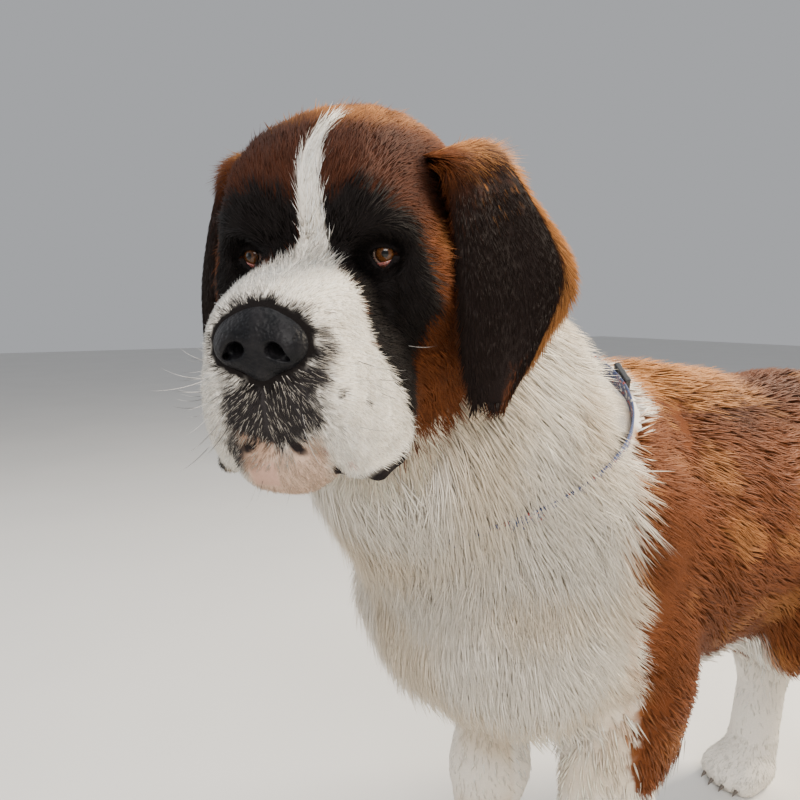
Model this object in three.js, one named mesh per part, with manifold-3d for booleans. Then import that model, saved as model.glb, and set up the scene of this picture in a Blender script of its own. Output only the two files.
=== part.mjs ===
// A Saint Bernard standing with its head turned to its left, life size, in millimetres.
// +Z is up, the dog faces -Y and its left side is +X. The body is one smooth skin with a coat over
// it, parted with thin cuts into the pieces a person would name. Long hair is built as flat locks.
import * as THREE from "three";
import Module from "manifold-3d";

const wasm = await Module();
wasm.setup();
const { Manifold, Mesh: SolidMesh } = wasm;

// Driving dimensions
const gap = 0.3;
const chest = { y: 120, z: 560, width: 290, length: 550, depth: 362 };
const forechest = { at: [0, -128, 520], radii: [92, 92, 128] };
const withers = { at: [0, 15, 680], radii: [48, 120, 60] };
const belly = { at: [0, 275, 500], radii: [105, 215, 112] };
const shoulder = { x: 92, y: -35, z: 570, radii: [58, 112, 150], lean: -12 };
const haunch = { x: 82, y: 448, z: 492, radii: [58, 116, 150], lean: 14 };
const loin = { y: 352, z: 572, width: 248, length: 430, depth: 294 };
const croup = { y: 442, z: 598, width: 236, length: 264, depth: 238 };
const foreleg = { x: 101, elbowZ: 420, carpusZ: 208, carpusR: 41, elbowR: 60 };
const hindleg = { x: 92, hockY: 580, hockZ: 225, hockR: 36 };
const forepaw = { y: -62, width: 100, length: 124, height: 72, toes: 4 };
const hindpaw = { y: 532, width: 90, length: 114, height: 66, toes: 4 };
const head = { at: [171, -383, 866], yaw: 45, pitch: 8, roll: 0 };
const skull = { width: 148, length: 176, height: 132 };
const eye = { x: 47, y: 1, z: 0, radius: 12 };
const tail = { rootR: 36, tipR: 10, steps: 8 };
const earSize = { rows: 9, across: 6, bow: 13, thick: 6.5 };
const shortCoat = 7;
const tailCoat = 36;
const blendBody = 55;
const blendNeck = 60;
const blendLeg = 34;
const blendHead = 26;
// The collar's band lies in a plane across the neck, and its slider is on the side that it looks to
const band = {
  at: [25, -160, 715],
  normal: [0.433, -0.39, 0.813],
  width: 20,
  thick: 3,
  steps: 24,
  sunk: 2,
};
const slider = { towards: [101, -5, 758], size: [17, 30, 8] };
// A lock's places along its length, its width at each, and how it lies against the core
const lockShape = { along: [0, 0.36, 0.72, 1], width: [0.6, 1, 0.72, 0], sink: 11, thick: 7, proud: 4 };
// The locks of each part: they grow where the coat is deeper than their "from"
const lockSets = {
  neck: { spacing: 66, long: 136, wide: 62, from: 16 },
  torso: { spacing: 80, long: 146, wide: 72, from: 19 },
  thigh: { spacing: 64, long: 124, wide: 54, from: 20 },
  foreleg: { spacing: 50, long: 80, wide: 40, from: 18 },
  tail: { spacing: 74, long: 128, wide: 48 },
};

const rad = THREE.MathUtils.degToRad;
const mix = THREE.MathUtils.lerp;
const clamp01 = (t) => Math.min(1, Math.max(0, t));
const ease = (t) => clamp01(t) ** 2 * (3 - 2 * clamp01(t));
const bothSides = (make) => [1, -1].flatMap(make);

// Distance fields: each is a function of x, y and z that is negative inside

// A stretched ball with its own radii, turned by degrees about x, y and z
function blob([cx, cy, cz], [rx, ry, rz], turn = [0, 0, 0]) {
  const spin = new THREE.Matrix4().makeRotationFromEuler(new THREE.Euler(...turn.map(rad)));
  const e = spin.elements;
  return (x, y, z) => {
    const [px, py, pz] = [x - cx, y - cy, z - cz];
    const u = (e[0] * px + e[1] * py + e[2] * pz) / rx;
    const v = (e[4] * px + e[5] * py + e[6] * pz) / ry;
    const w = (e[8] * px + e[9] * py + e[10] * pz) / rz;
    const k0 = Math.sqrt(u * u + v * v + w * w);
    const k1 = Math.sqrt((u / rx) ** 2 + (v / ry) ** 2 + (w / rz) ** 2);
    return k1 < 1e-9 ? -Math.min(rx, ry, rz) : (k0 * (k0 - 1)) / k1;
  };
}

// A round bar from a to b whose radius runs from ra to rb
function limb(a, b, ra, rb) {
  const d = [b[0] - a[0], b[1] - a[1], b[2] - a[2]];
  const dd = d[0] ** 2 + d[1] ** 2 + d[2] ** 2;
  return (x, y, z) => {
    const p = [x - a[0], y - a[1], z - a[2]];
    const t = clamp01((p[0] * d[0] + p[1] * d[1] + p[2] * d[2]) / dd);
    return Math.hypot(p[0] - t * d[0], p[1] - t * d[1], p[2] - t * d[2]) - mix(ra, rb, t);
  };
}

function soft(a, b, k) {
  const h = Math.max(k - Math.abs(a - b), 0) / k;
  return Math.min(a, b) - (h * h * k) / 4;
}

const blend = (k, fields) => (x, y, z) => fields.reduce((d, f) => soft(d, f(x, y, z), k), 1e3);
const carve = (k, field, tools) => (x, y, z) =>
  tools.reduce((d, tool) => -soft(-d, tool(x, y, z), k), field(x, y, z));

// The skin of the trunk, from the forechest to the croup
const trunk = blend(blendBody, [
  blob([0, chest.y, chest.z], [chest.width / 2, chest.length / 2, chest.depth / 2]),
  blob(forechest.at, forechest.radii),
  blob(withers.at, withers.radii),
  blob([0, loin.y, loin.z], [loin.width / 2, loin.length / 2, loin.depth / 2]),
  blob(belly.at, belly.radii),
  blob([0, croup.y, croup.z], [croup.width / 2, croup.length / 2, croup.depth / 2]),
  ...bothSides((s) => [
    blob([s * shoulder.x, shoulder.y, shoulder.z], shoulder.radii, [shoulder.lean, 0, 0]),
    blob([s * haunch.x, haunch.y, haunch.z], haunch.radii, [haunch.lean, 0, 0]),
  ]),
]);

const neck = blend(blendNeck, [
  limb([0, -60, 610], [22, -150, 700], 118, 104),
  limb([22, -150, 700], [66, -245, 800], 104, 88),
  limb([30, -205, 640], [104, -318, 772], 70, 50),
]);

const forelegOf = (s) =>
  blend(blendLeg, [
    limb([s * 92, -130, 490], [s * (foreleg.x + 3), 0, 428], 60, 60),
    limb([s * (foreleg.x + 5), 2, foreleg.elbowZ], [s * foreleg.x, -18, 212], foreleg.elbowR, 38),
    blob([s * (foreleg.x + 3), 28, 392], [38, 44, 84], [8, 0, 0]),
    blob([s * foreleg.x, -20, foreleg.carpusZ], [foreleg.carpusR - 1, foreleg.carpusR, 44]),
    limb([s * foreleg.x, -20, 200], [s * foreleg.x, -38, 70], 35, 36),
  ]);

const hindlegOf = (s) =>
  blend(blendLeg, [
    blob([s * 88, 384, 418], [54, 68, 82], [-20, 0, 0]),
    limb([s * 90, 392, 400], [s * hindleg.x, 560, 245], 60, 37),
    blob([s * hindleg.x, hindleg.hockY, hindleg.hockZ], [hindleg.hockR - 3, 40, 42]),
    limb([s * hindleg.x, 580, 222], [s * hindleg.x, 556, 66], 33, 35),
  ]);

// A paw: a rounded body with a row of arched toes in front, its sole trimmed flat later
const pawOf = (s, legX, paw) => {
  const toe = { r: paw.width / paw.toes / 2 + 3, long: paw.length * 0.22, high: paw.height * 0.34 };
  const toes = [...Array(paw.toes).keys()].map((i) => {
    const across = (i - (paw.toes - 1) / 2) / paw.toes;
    const back = Math.abs(across) * 34;
    const at = [s * legX + across * (paw.width - 8), paw.y - paw.length * 0.38 + back, toe.high];
    return blob(at, [toe.r, toe.long, toe.high]);
  });
  return blend(9, [
    blob([s * legX, paw.y, paw.height * 0.42], [paw.width / 2, paw.length * 0.46, paw.height * 0.56]),
    ...toes,
  ]);
};

const tailLine = new THREE.CatmullRomCurve3(
  [
    [0, 528, 672],
    [0, 610, 622],
    [3, 672, 490],
    [8, 686, 360],
    [14, 708, 262],
  ].map((p) => new THREE.Vector3(...p)),
);
const tailPoints = tailLine.getPoints(tail.steps).map((p) => p.toArray());
const tailSkin = blend(
  20,
  tailPoints.slice(1).map((p, i) => {
    const radius = (j) => mix(tail.rootR, tail.tipR, (j / tail.steps) ** 1.2);
    return limb(tailPoints[i], p, radius(i), radius(i + 1));
  }),
);

// The head in its own axes: x to its left, y to the back, z up, from between the eyes
const headMatrix = new THREE.Matrix4()
  .makeRotationFromEuler(new THREE.Euler(rad(head.pitch), rad(head.roll), rad(head.yaw), "ZXY"))
  .setPosition(...head.at);
const toHead = headMatrix.clone().invert().elements;
const inHead = (field) => (x, y, z) =>
  field(
    toHead[0] * x + toHead[4] * y + toHead[8] * z + toHead[12],
    toHead[1] * x + toHead[5] * y + toHead[9] * z + toHead[13],
    toHead[2] * x + toHead[6] * y + toHead[10] * z + toHead[14],
  );

const skullSkin = blend(blendHead, [
  blob([0, 74, 22], [skull.width / 2, skull.length / 2, skull.height / 2]),
  blob([0, 66, 50], [60, 66, 42]),
  blob([0, 112, 42], [72, 60, 52]),
  ...bothSides((s) => [
    blob([s * 27, 10, 42], [32, 36, 30]),
    blob([s * 42, -2, 22], [22, 16, 12], [0, s * 18, 0]),
    blob([s * 60, 46, -24], [30, 55, 42]),
    blob([s * 52, 76, -58], [32, 48, 46]),
  ]),
]);
const muzzleSkin = blend(18, [
  ...bothSides((s) => [
    limb([s * 16, -4, -22], [s * 14, -84, -42], 24, 22),
    blob([s * 22, -48, -66], [24, 50, 42]),
    blob([s * 35, -52, -94], [20, 40, 42], [0, s * -8, 0]),
    blob([s * 44, -20, -94], [17, 40, 42], [0, s * -6, 0]),
    blob([s * 17, -86, -80], [20, 18, 30]),
  ]),
]);
const headSkin = carve(10, blend(22, [skullSkin, muzzleSkin]), [
  limb([0, -14, 14], [0, 30, 78], 2, 5),
]);

// How deep the coat lies over the skin: a short base, and long hair in soft zones
const longHair = [
  { at: [30, -170, 700], reach: [150, 150, 150], depth: 34 },
  { at: [20, -200, 560], reach: [130, 110, 170], depth: 30 },
  { at: [0, 180, 590], reach: [220, 400, 200], depth: 7 },
  { at: [0, 60, 760], reach: [60, 150, 50], depth: 17 },
  { at: [0, 560, 500], reach: [150, 70, 170], depth: 33 },
  { at: [0, 170, 370], reach: [80, 200, 36], depth: 22 },
  { at: [foreleg.x, 82, 350], reach: [34, 30, 60], depth: 24 },
  { at: [-foreleg.x, 82, 350], reach: [34, 30, 60], depth: 24 },
];
const coatDepth = (x, y, z) =>
  longHair.reduce((depth, zone) => {
    const far = Math.hypot(...[x, y, z].map((v, i) => (v - zone.at[i]) / zone.reach[i]));
    return Math.max(depth, shortCoat + zone.depth * ease(2 - far));
  }, shortCoat);

const trunkAndLegs = blend(blendBody, [
  trunk,
  neck,
  forelegOf(1),
  forelegOf(-1),
  hindlegOf(1),
  hindlegOf(-1),
]);
const headNear = (x, y, z) =>
  Math.hypot(x - head.at[0], y - head.at[1], z - head.at[2]) < 330
    ? inHead(headSkin)(x, y, z)
    : 200;
const wholeSkin = blend(40, [trunkAndLegs, headNear]);
// The core under the locks reaches half way up the long hair, and carries the short fur whole
const coreDepth = (x, y, z) => Math.max(shortCoat, 0.5 * coatDepth(x, y, z));
const coreField = (x, y, z) => wholeSkin(x, y, z) - coreDepth(x, y, z);

// Meshing: surface nets over a grid whose lines may be spaced unevenly
function lines(from, to, step) {
  const out = [from];
  while (out.at(-1) < to) out.push(out.at(-1) + (typeof step === "function" ? step(out.at(-1)) : step));
  return out;
}

function meshOnce(field, [xs, ys, zs]) {
  const [nx, ny, nz] = [xs.length, ys.length, zs.length];
  const at = (i, j, k) => (i * ny + j) * nz + k;
  const values = new Float64Array(nx * ny * nz);
  for (let i = 0; i < nx; i++)
    for (let j = 0; j < ny; j++)
      for (let k = 0; k < nz; k++) {
        const rim = !i || !j || !k || i === nx - 1 || j === ny - 1 || k === nz - 1;
        const d = field(xs[i], ys[j], zs[k]);
        values[at(i, j, k)] = rim ? Math.max(d, 0.5) : d;
      }
  const corners = [0, 1, 2, 3, 4, 5, 6, 7].map((c) => [c & 1, (c >> 1) & 1, (c >> 2) & 1]);
  const edges = corners.flatMap((a, i) =>
    corners.slice(i + 1).flatMap((b, j) => {
      const apart = Math.abs(a[0] - b[0]) + Math.abs(a[1] - b[1]) + Math.abs(a[2] - b[2]);
      return apart === 1 ? [[a, b]] : [];
    }),
  );
  const points = [];
  const cellPoint = new Map();
  for (let i = 0; i < nx - 1; i++)
    for (let j = 0; j < ny - 1; j++)
      for (let k = 0; k < nz - 1; k++) {
        const sum = [0, 0, 0];
        let hits = 0;
        for (const [a, b] of edges) {
          const va = values[at(i + a[0], j + a[1], k + a[2])];
          const vb = values[at(i + b[0], j + b[1], k + b[2])];
          if (va < 0 === vb < 0) continue;
          const t = va / (va - vb);
          sum[0] += mix(xs[i + a[0]], xs[i + b[0]], t);
          sum[1] += mix(ys[j + a[1]], ys[j + b[1]], t);
          sum[2] += mix(zs[k + a[2]], zs[k + b[2]], t);
          hits++;
        }
        if (!hits) continue;
        cellPoint.set(at(i, j, k), points.length / 3);
        points.push(sum[0] / hits, sum[1] / hits, sum[2] / hits);
      }
  const triangles = [];
  const apart = (a, b) => Math.hypot(...[0, 1, 2].map((c) => points[3 * a + c] - points[3 * b + c]));
  const quad = (cells, flip) => {
    const [a, b, c, d] = cells.map((cell) => cellPoint.get(cell));
    const tris = apart(a, c) < apart(b, d) ? [a, b, c, a, c, d] : [a, b, d, b, c, d];
    triangles.push(...(flip ? tris.reverse() : tris));
  };
  for (let i = 0; i < nx - 1; i++)
    for (let j = 0; j < ny - 1; j++)
      for (let k = 0; k < nz - 1; k++) {
        const inside = values[at(i, j, k)] < 0;
        const differs = (v) => v < 0 !== inside;
        if (j && k && differs(values[at(i + 1, j, k)]))
          quad([at(i, j - 1, k - 1), at(i, j, k - 1), at(i, j, k), at(i, j - 1, k)], !inside);
        if (i && k && differs(values[at(i, j + 1, k)]))
          quad([at(i - 1, j, k - 1), at(i - 1, j, k), at(i, j, k), at(i, j, k - 1)], !inside);
        if (i && j && differs(values[at(i, j, k + 1)]))
          quad([at(i - 1, j - 1, k), at(i, j - 1, k), at(i, j, k), at(i - 1, j, k)], !inside);
      }
  return { points, triangles };
}

// Each edge is shared by two triangles: where the grid would pinch the surface, it is nudged on
function pinched({ triangles }) {
  const seen = new Set();
  for (let i = 0; i < triangles.length; i++) {
    const next = i % 3 === 2 ? i - 2 : i + 1;
    const key = triangles[i] * 1e6 + triangles[next];
    if (seen.has(key)) return true;
    seen.add(key);
  }
  return false;
}
function meshOf(field, gridLines) {
  let mesh = meshOnce(field, gridLines);
  for (let nudge = 1; nudge < 12 && pinched(mesh); nudge++) {
    const shift = (list, share) => list.map((v) => v + share * nudge * (list[1] - list[0]));
    mesh = meshOnce(field, gridLines.map((list, i) => shift(list, [0.037, 0.051, 0.043][i])));
  }
  return mesh;
}

// Solids
const solidOf = ({ points, triangles }) =>
  new Manifold(
    new SolidMesh({
      numProp: 3,
      vertProperties: new Float32Array(points),
      triVerts: new Uint32Array(triangles),
    }),
  );

function meshOfGeometry(geometry) {
  const source = geometry.index ? geometry.toNonIndexed() : geometry;
  const position = source.getAttribute("position");
  const keys = new Map();
  const points = [];
  const corners = [];
  for (let i = 0; i < position.count; i++) {
    const p = [position.getX(i), position.getY(i), position.getZ(i)];
    const key = p.map((v) => Math.round(v * 1e3)).join();
    if (!keys.has(key)) {
      keys.set(key, points.length / 3);
      points.push(...p);
    }
    corners.push(keys.get(key));
  }
  const triangles = [];
  for (let i = 0; i < corners.length; i += 3) {
    const [a, b, c] = corners.slice(i, i + 3);
    if (a !== b && b !== c && c !== a) triangles.push(a, b, c);
  }
  return { points, triangles };
}
const solidOfGeometry = (geometry) => solidOf(meshOfGeometry(geometry));

function meshOfSolid(solid) {
  const mesh = solid.getMesh();
  return { points: [...mesh.vertProperties], triangles: [...mesh.triVerts] };
}
const biggest = (solid) =>
  solid.decompose().reduce((a, b) => (b.volume() > a.volume() ? b : a));
const grid = (box, step) => box.map(([from, to]) => lines(from, to, step));

// The same mesh with its points pushed out along their normals, for cutting its neighbours clear
function grown({ points, triangles }, by = gap * 1.4) {
  const geometry = new THREE.BufferGeometry();
  geometry.setAttribute("position", new THREE.Float32BufferAttribute(points, 3));
  geometry.setIndex(triangles);
  geometry.computeVertexNormals();
  const normal = geometry.getAttribute("normal").array;
  return solidOf({ points: points.map((v, i) => v + by * normal[i]), triangles });
}

const moved = (mesh, matrix) => {
  const points = [];
  for (let i = 0; i < mesh.points.length; i += 3) {
    const p = new THREE.Vector3(...mesh.points.slice(i, i + 3)).applyMatrix4(matrix);
    points.push(p.x, p.y, p.z);
  }
  return { points, triangles: mesh.triangles };
};

// The half of a solid on the side that a plane's normal points to, less half the gap
function half(solid, point, normal, side = 1) {
  const n = new THREE.Vector3(...normal).normalize().multiplyScalar(side);
  const offset = n.dot(new THREE.Vector3(...point)) + gap / 2;
  return solid.trimByPlane(n.toArray(), offset);
}
const boxOf = ([x0, x1], [y0, y1], [z0, z1], grow = 0) => {
  const size = [x1 - x0, y1 - y0, z1 - z0].map((v) => v + 2 * grow);
  const box = new THREE.BoxGeometry(...size);
  return solidOfGeometry(box.translate((x0 + x1) / 2, (y0 + y1) / 2, (z0 + z1) / 2));
};

// What lies in front of a plane across the head, at a place along it
function frontOf(solid, y) {
  const point = new THREE.Vector3(0, y, 0).applyMatrix4(headMatrix).toArray();
  return half(solid, point, new THREE.Vector3(0, -1, 0).transformDirection(headMatrix).toArray());
}

// Where the body is parted
const headPoint = new THREE.Vector3(0, 118, -10).applyMatrix4(headMatrix).toArray();
const headNormal = new THREE.Vector3(0, -0.78, 0.62).transformDirection(headMatrix).toArray();
const neckPoint = [0, -120, 640];
const neckNormal = [0, -0.583, 0.812];
const forelegTop = 430;
const hindlegTop = 470;
const forepawTop = 74;
const hindpawTop = 66;
const hockTop = 262;
const legBoxes = bothSides((s) => [
  [s > 0 ? [40, 260] : [-260, -40], [-96, 96], [-60, forelegTop]],
  [s > 0 ? [34, 260] : [-260, -34], [270, 760], [-60, hindlegTop]],
]);

// Locks: flat, tapered tufts that follow the lie of the coat and rise from the core to its tips
let seed = 7;
const random = () => {
  seed = (seed * 1664525 + 1013904223) % 4294967296;
  return seed / 4294967296;
};
const spread = (amount) => (random() - 0.5) * 2 * amount;
const vector = (p) => new THREE.Vector3(...p);
function outward(p) {
  const e = 3;
  const f = (dx, dy, dz) => wholeSkin(p.x + dx, p.y + dy, p.z + dz);
  const slope = [f(e, 0, 0) - f(-e, 0, 0), f(0, e, 0) - f(0, -e, 0), f(0, 0, e) - f(0, 0, -e)];
  return vector(slope).normalize();
}

// The way the hair lies: down the neck and chest, back and down along the trunk, down the breeches
const lieZones = [
  { at: [110, -300, 800], reach: 190, way: [-0.35, 0.6, -0.72] },
  { at: [0, -230, 560], reach: 200, way: [0, 0.12, -1] },
  { at: [0, 20, 760], reach: 170, way: [0, 1, -0.25] },
  { at: [0, 120, 480], reach: 240, way: [0, 0.72, -0.7] },
  { at: [0, 330, 640], reach: 240, way: [0, 0.96, -0.3] },
  { at: [0, 540, 480], reach: 190, way: [0, 0.3, -0.95] },
];
function lieOf(p, normal) {
  const way = lieZones.reduce((sum, zone) => {
    const weight = Math.exp(-(((p.distanceTo(vector(zone.at)) / zone.reach) ** 2) * 2));
    return sum.addScaledVector(vector(zone.way), weight + 1e-6);
  }, new THREE.Vector3());
  return way.projectOnPlane(normal).normalize();
}
function settle(p, depth) {
  const normal = outward(p);
  const rise = depth - wholeSkin(p.x, p.y, p.z);
  return { at: p.clone().addScaledVector(normal, rise), normal };
}

// The rings of one lock: each has its middle, its sideways reach and its thickness way
function lockRings(root, { long, wide, turn = 0, lift = 1, lie = lieOf }) {
  const rings = [];
  let here = root.clone();
  for (const [i, t] of lockShape.along.entries()) {
    if (i) {
      const step = (t - lockShape.along[i - 1]) * long;
      const normal = outward(here);
      const way = lie(here, normal).applyAxisAngle(normal, turn);
      here = here.clone().addScaledVector(way, step);
    }
    const [low, high] = [coreDepth(here.x, here.y, here.z), coatDepth(here.x, here.y, here.z)];
    const tipDepth = Math.max(low + lockShape.proud, high * lift);
    const depth = i ? mix(low + lockShape.proud, tipDepth, t) : low - lockShape.sink;
    const { at, normal } = settle(here, depth);
    const way = lie(at, normal).applyAxisAngle(normal, turn);
    rings.push({ at, side: way.clone().cross(normal), up: normal, half: (lockShape.width[i] * wide) / 2 });
  }
  return rings;
}
// Its section is a low ridge over a flat underside. Grown, every face of it moves out by that much,
// so its thin edges and its tip reach out further
function lockSolid(rings, grow = 0) {
  const points = [];
  const triangles = [];
  const tip = rings.at(-1);
  const last = rings.length - 2;
  rings.slice(0, -1).forEach((ring, i) => {
    const ridge = lockShape.thick * (i === last ? 0.7 : 1);
    const reach = ring.half + (grow * (ring.half + Math.hypot(ring.half, ridge))) / ridge;
    const corners = [[reach, -grow], [0, ridge + grow * 1.1], [-reach, -grow]];
    for (const [across, rise] of corners) {
      const p = ring.at.clone().addScaledVector(ring.side, across).addScaledVector(ring.up, rise);
      points.push(p.x, p.y, p.z);
    }
    if (!i) triangles.push(0, 1, 2);
    for (let c = 0; c < 3 && i < last; c++) {
      const [a, b] = [3 * i + c, 3 * i + ((c + 1) % 3)];
      triangles.push(a, a + 3, b, b, a + 3, b + 3);
    }
  });
  const onward = tip.at.clone().sub(rings[last].at).normalize().multiplyScalar(14 * grow);
  points.push(...tip.at.clone().add(onward).toArray());
  const end = points.length / 3 - 1;
  for (let c = 0; c < 3; c++) triangles.push(3 * last + c, end, 3 * last + ((c + 1) % 3));
  return solidOf({ points, triangles });
}

// Roots spread evenly over a mesh, wherever a rule lets locks grow
function rootsOn({ points, triangles }, spacing, allowed) {
  const corner = (i) => vector(points.slice(3 * triangles[i], 3 * triangles[i] + 3));
  const faces = [];
  let area = 0;
  for (let i = 0; i < triangles.length; i += 3) {
    const face = new THREE.Triangle(corner(i), corner(i + 1), corner(i + 2));
    area += face.getArea();
    faces.push({ face, area });
  }
  const roots = [];
  for (let tries = 0; tries < 5000; tries++) {
    const pick = random() * area;
    const { face } = faces.find((f) => f.area >= pick);
    const [u, v] = [random(), random()];
    const [a, b] = u + v > 1 ? [1 - u, 1 - v] : [u, v];
    const p = face.a.clone().multiplyScalar(1 - a - b);
    p.addScaledVector(face.b, a).addScaledVector(face.c, b);
    if (!allowed(p)) continue;
    if (roots.every((other) => other.distanceTo(p) > spacing)) roots.push(p);
  }
  return roots;
}
const joined = (solids) => Manifold.union(solids);
const cutBy = (solid, others) => others.reduce((left, other) => left.subtract(other), solid);

// Torso, neck and head share one coated surface
const torsoMesh = meshOf(coreField, grid([[-270, 270], [-330, 760], [280, 860]], 56));
const neckMesh = meshOf(coreField, grid([[-230, 330], [-490, 130], [430, 1060]], 45));
const neckRegion = (solid) => half(half(solid, neckPoint, neckNormal, 1), headPoint, headNormal, -1);

const headField = (x, y, z) => {
  const p = new THREE.Vector3(x, y, z).applyMatrix4(headMatrix);
  return coreField(p.x, p.y, p.z);
};
const headGrid = [
  lines(-122, 120, (x) => (Math.abs(x + 5) < 66 ? 12.6 : 24)),
  lines(-138, 230, (y) => (y < 12 ? 12.6 : 30)),
  lines(-166, 150, (z) => (z > -112 && z < 36 ? 12 : 23)),
];
const headWhole = moved(meshOf(headField, headGrid), headMatrix);

// Eyes in their sockets, with lids round an almond opening
const ballMesh = (radius, at, across, down) => {
  const ball = new THREE.SphereGeometry(radius, across, down);
  return solidOfGeometry(ball.translate(...at).applyMatrix4(headMatrix));
};
const eyeAt = (s) => [s * eye.x, eye.y, eye.z];
const lookOf = (s) => new THREE.Matrix4().makeRotationZ(s * rad(14)).setPosition(...eyeAt(s));
function eyeball(s) {
  const cornea = { radius: 8.4, out: 4.9 };
  const steps = 8;
  const profile = [...Array(steps + 1).keys()].map((i) => {
    const angle = (i / steps) * Math.PI;
    const ballX = eye.radius * Math.sin(angle);
    const ballY = eye.radius * Math.cos(angle);
    const bulge = Math.sqrt(Math.max(cornea.radius ** 2 - ballX ** 2, 0)) + cornea.out;
    return new THREE.Vector2(i % steps ? ballX : 0, Math.max(ballY, i < 3 ? bulge : -99));
  });
  const ball = new THREE.LatheGeometry(profile.reverse(), 12).rotateX(Math.PI / 2);
  return meshOfGeometry(ball.applyMatrix4(lookOf(s)).applyMatrix4(headMatrix));
}
function almond(s) {
  const [wide, high] = [13.5, 9.6];
  const shape = new THREE.Shape();
  shape.moveTo(-wide, -2 * s);
  shape.quadraticCurveTo(0, high * 1.25, wide, 2 * s);
  shape.quadraticCurveTo(0, -high * 1.5, -wide, -2 * s);
  const prism = new THREE.ExtrudeGeometry(shape, { depth: 40, bevelEnabled: false, curveSegments: 8 });
  prism.rotateX(Math.PI / 2).applyMatrix4(lookOf(s)).applyMatrix4(headMatrix);
  return solidOfGeometry(prism);
}

// The nose leather: broad, with round wings, comma nostrils and a groove down its middle
const noseSkin = carve(3, blend(10, [
  blob([0, -101, -41], [31, 17, 21]),
  blob([0, -98, -58], [16, 16, 14]),
  ...bothSides((s) => [blob([s * 21, -103, -47], [13, 15, 13])]),
]), [
  limb([0, -122, -44], [0, -117, -70], 2.4, 2.4),
  ...bothSides((s) => [
    blob([s * 15, -120, -46], [6.2, 13, 4.6], [0, s * 20, 0]),
    limb([s * 19, -118, -50], [s * 29, -104, -54], 2.6, 1.6),
  ]),
]);
const noseMesh = moved(meshOf(noseSkin, grid([[-41, 42], [-128, -78], [-78, -14]], 6.6)), headMatrix);

const jawSkin = blend(16, [
  limb([0, -76, -119], [0, 0, -112], 25, 30),
  ...bothSides((s) => [limb([s * 15, -82, -121], [s * 24, -20, -114], 16, 18)]),
]);
const jawGrid = grid([[-65, 64], [-116, 70], [-160, -60]], 16);
const jawRaw = solidOf(moved(meshOf((x, y, z) => jawSkin(x, y, z) - 3, jawGrid), headMatrix));

// An ear: a flap between a front and a back edge, curved over its fold, its inner face hollow
function ear(s) {
  const edge = (points) => new THREE.CatmullRomCurve3(points.map((p) => new THREE.Vector3(...p)));
  const front = edge([
    [60, 42, 62], [80, 40, 58], [90, 28, 20], [95, 20, -30], [98, 20, -80], [104, 26, -112],
  ]);
  const back = edge([
    [60, 106, 62], [102, 112, 64], [138, 130, 26], [166, 138, -28], [148, 100, -76], [120, 52, -116],
  ].map(([x, y, z]) => [s > 0 ? x : mix(84, x, 0.8), y, z]));
  const { rows, across, bow, thick } = earSize;
  const face = (side) =>
    [...Array(rows + 1).keys()].flatMap((i) =>
      [...Array(across + 1).keys()].map((j) => {
        const [v, u] = [i / rows, j / across];
        const a = front.getPoint(v);
        const b = back.getPoint(v);
        const down = front.getTangent(v).lerp(back.getTangent(v), u);
        const out = b.clone().sub(a).cross(down).normalize().negate();
        const rise = bow * Math.sin(Math.PI * u) * Math.min(1, 3 * v);
        const wall = (thick / 2) * (0.35 + 0.65 * Math.sin(Math.PI * u) ** 0.5) * mix(1.4, 0.7, v);
        return a.lerp(b, u).addScaledVector(out, rise + side * wall);
      }),
    );
  const points = [...face(1), ...face(-1)].flatMap((p) => [s * p.x, p.y, p.z]);
  const at = (side, i, j) => side * (rows + 1) * (across + 1) + i * (across + 1) + j;
  const triangles = [];
  const quad = (a, b, c, d) => triangles.push(a, b, c, a, c, d);
  for (let i = 0; i < rows; i++)
    for (let j = 0; j < across; j++) {
      quad(at(0, i, j), at(0, i + 1, j), at(0, i + 1, j + 1), at(0, i, j + 1));
      quad(at(1, i, j), at(1, i, j + 1), at(1, i + 1, j + 1), at(1, i + 1, j));
    }
  for (let i = 0; i < rows; i++) {
    quad(at(0, i + 1, 0), at(0, i, 0), at(1, i, 0), at(1, i + 1, 0));
    quad(at(0, i, across), at(0, i + 1, across), at(1, i + 1, across), at(1, i, across));
  }
  for (let j = 0; j < across; j++) {
    quad(at(0, 0, j), at(0, 0, j + 1), at(1, 0, j + 1), at(1, 0, j));
    quad(at(0, rows, j + 1), at(0, rows, j), at(1, rows, j), at(1, rows, j + 1));
  }
  if (s < 0) triangles.reverse();
  return moved({ points, triangles }, headMatrix);
}

// Head: the coated skull with lids added and the eyes, nose leather and ears cut clear
const eyeballs = bothSides((s) => [eyeball(s)]);
const eyeBack = eye.y + 1.5;
const noseBack = -92;
const eyes = eyeballs.map((mesh) => frontOf(solidOf(mesh), eyeBack));
const eyesGrown = eyeballs.map((mesh) => frontOf(grown(mesh), eyeBack + gap));
const nose = biggest(frontOf(solidOf(noseMesh), noseBack));
const noseGrown = biggest(frontOf(grown(noseMesh), noseBack + gap));
const lids = bothSides((s) => [ballMesh(eye.radius + 3.6, eyeAt(s), 12, 8)]);
const headGrown = half(grown(headWhole), headPoint, headNormal, 1);
const almonds = [1, -1].map((s) => frontOf(almond(s), eyeBack + gap));
const headShell = joined([half(solidOf(headWhole), headPoint, headNormal, 1), ...lids]);
const headSolid = biggest(cutBy(headShell, [...almonds, ...eyesGrown, noseGrown]));

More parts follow.
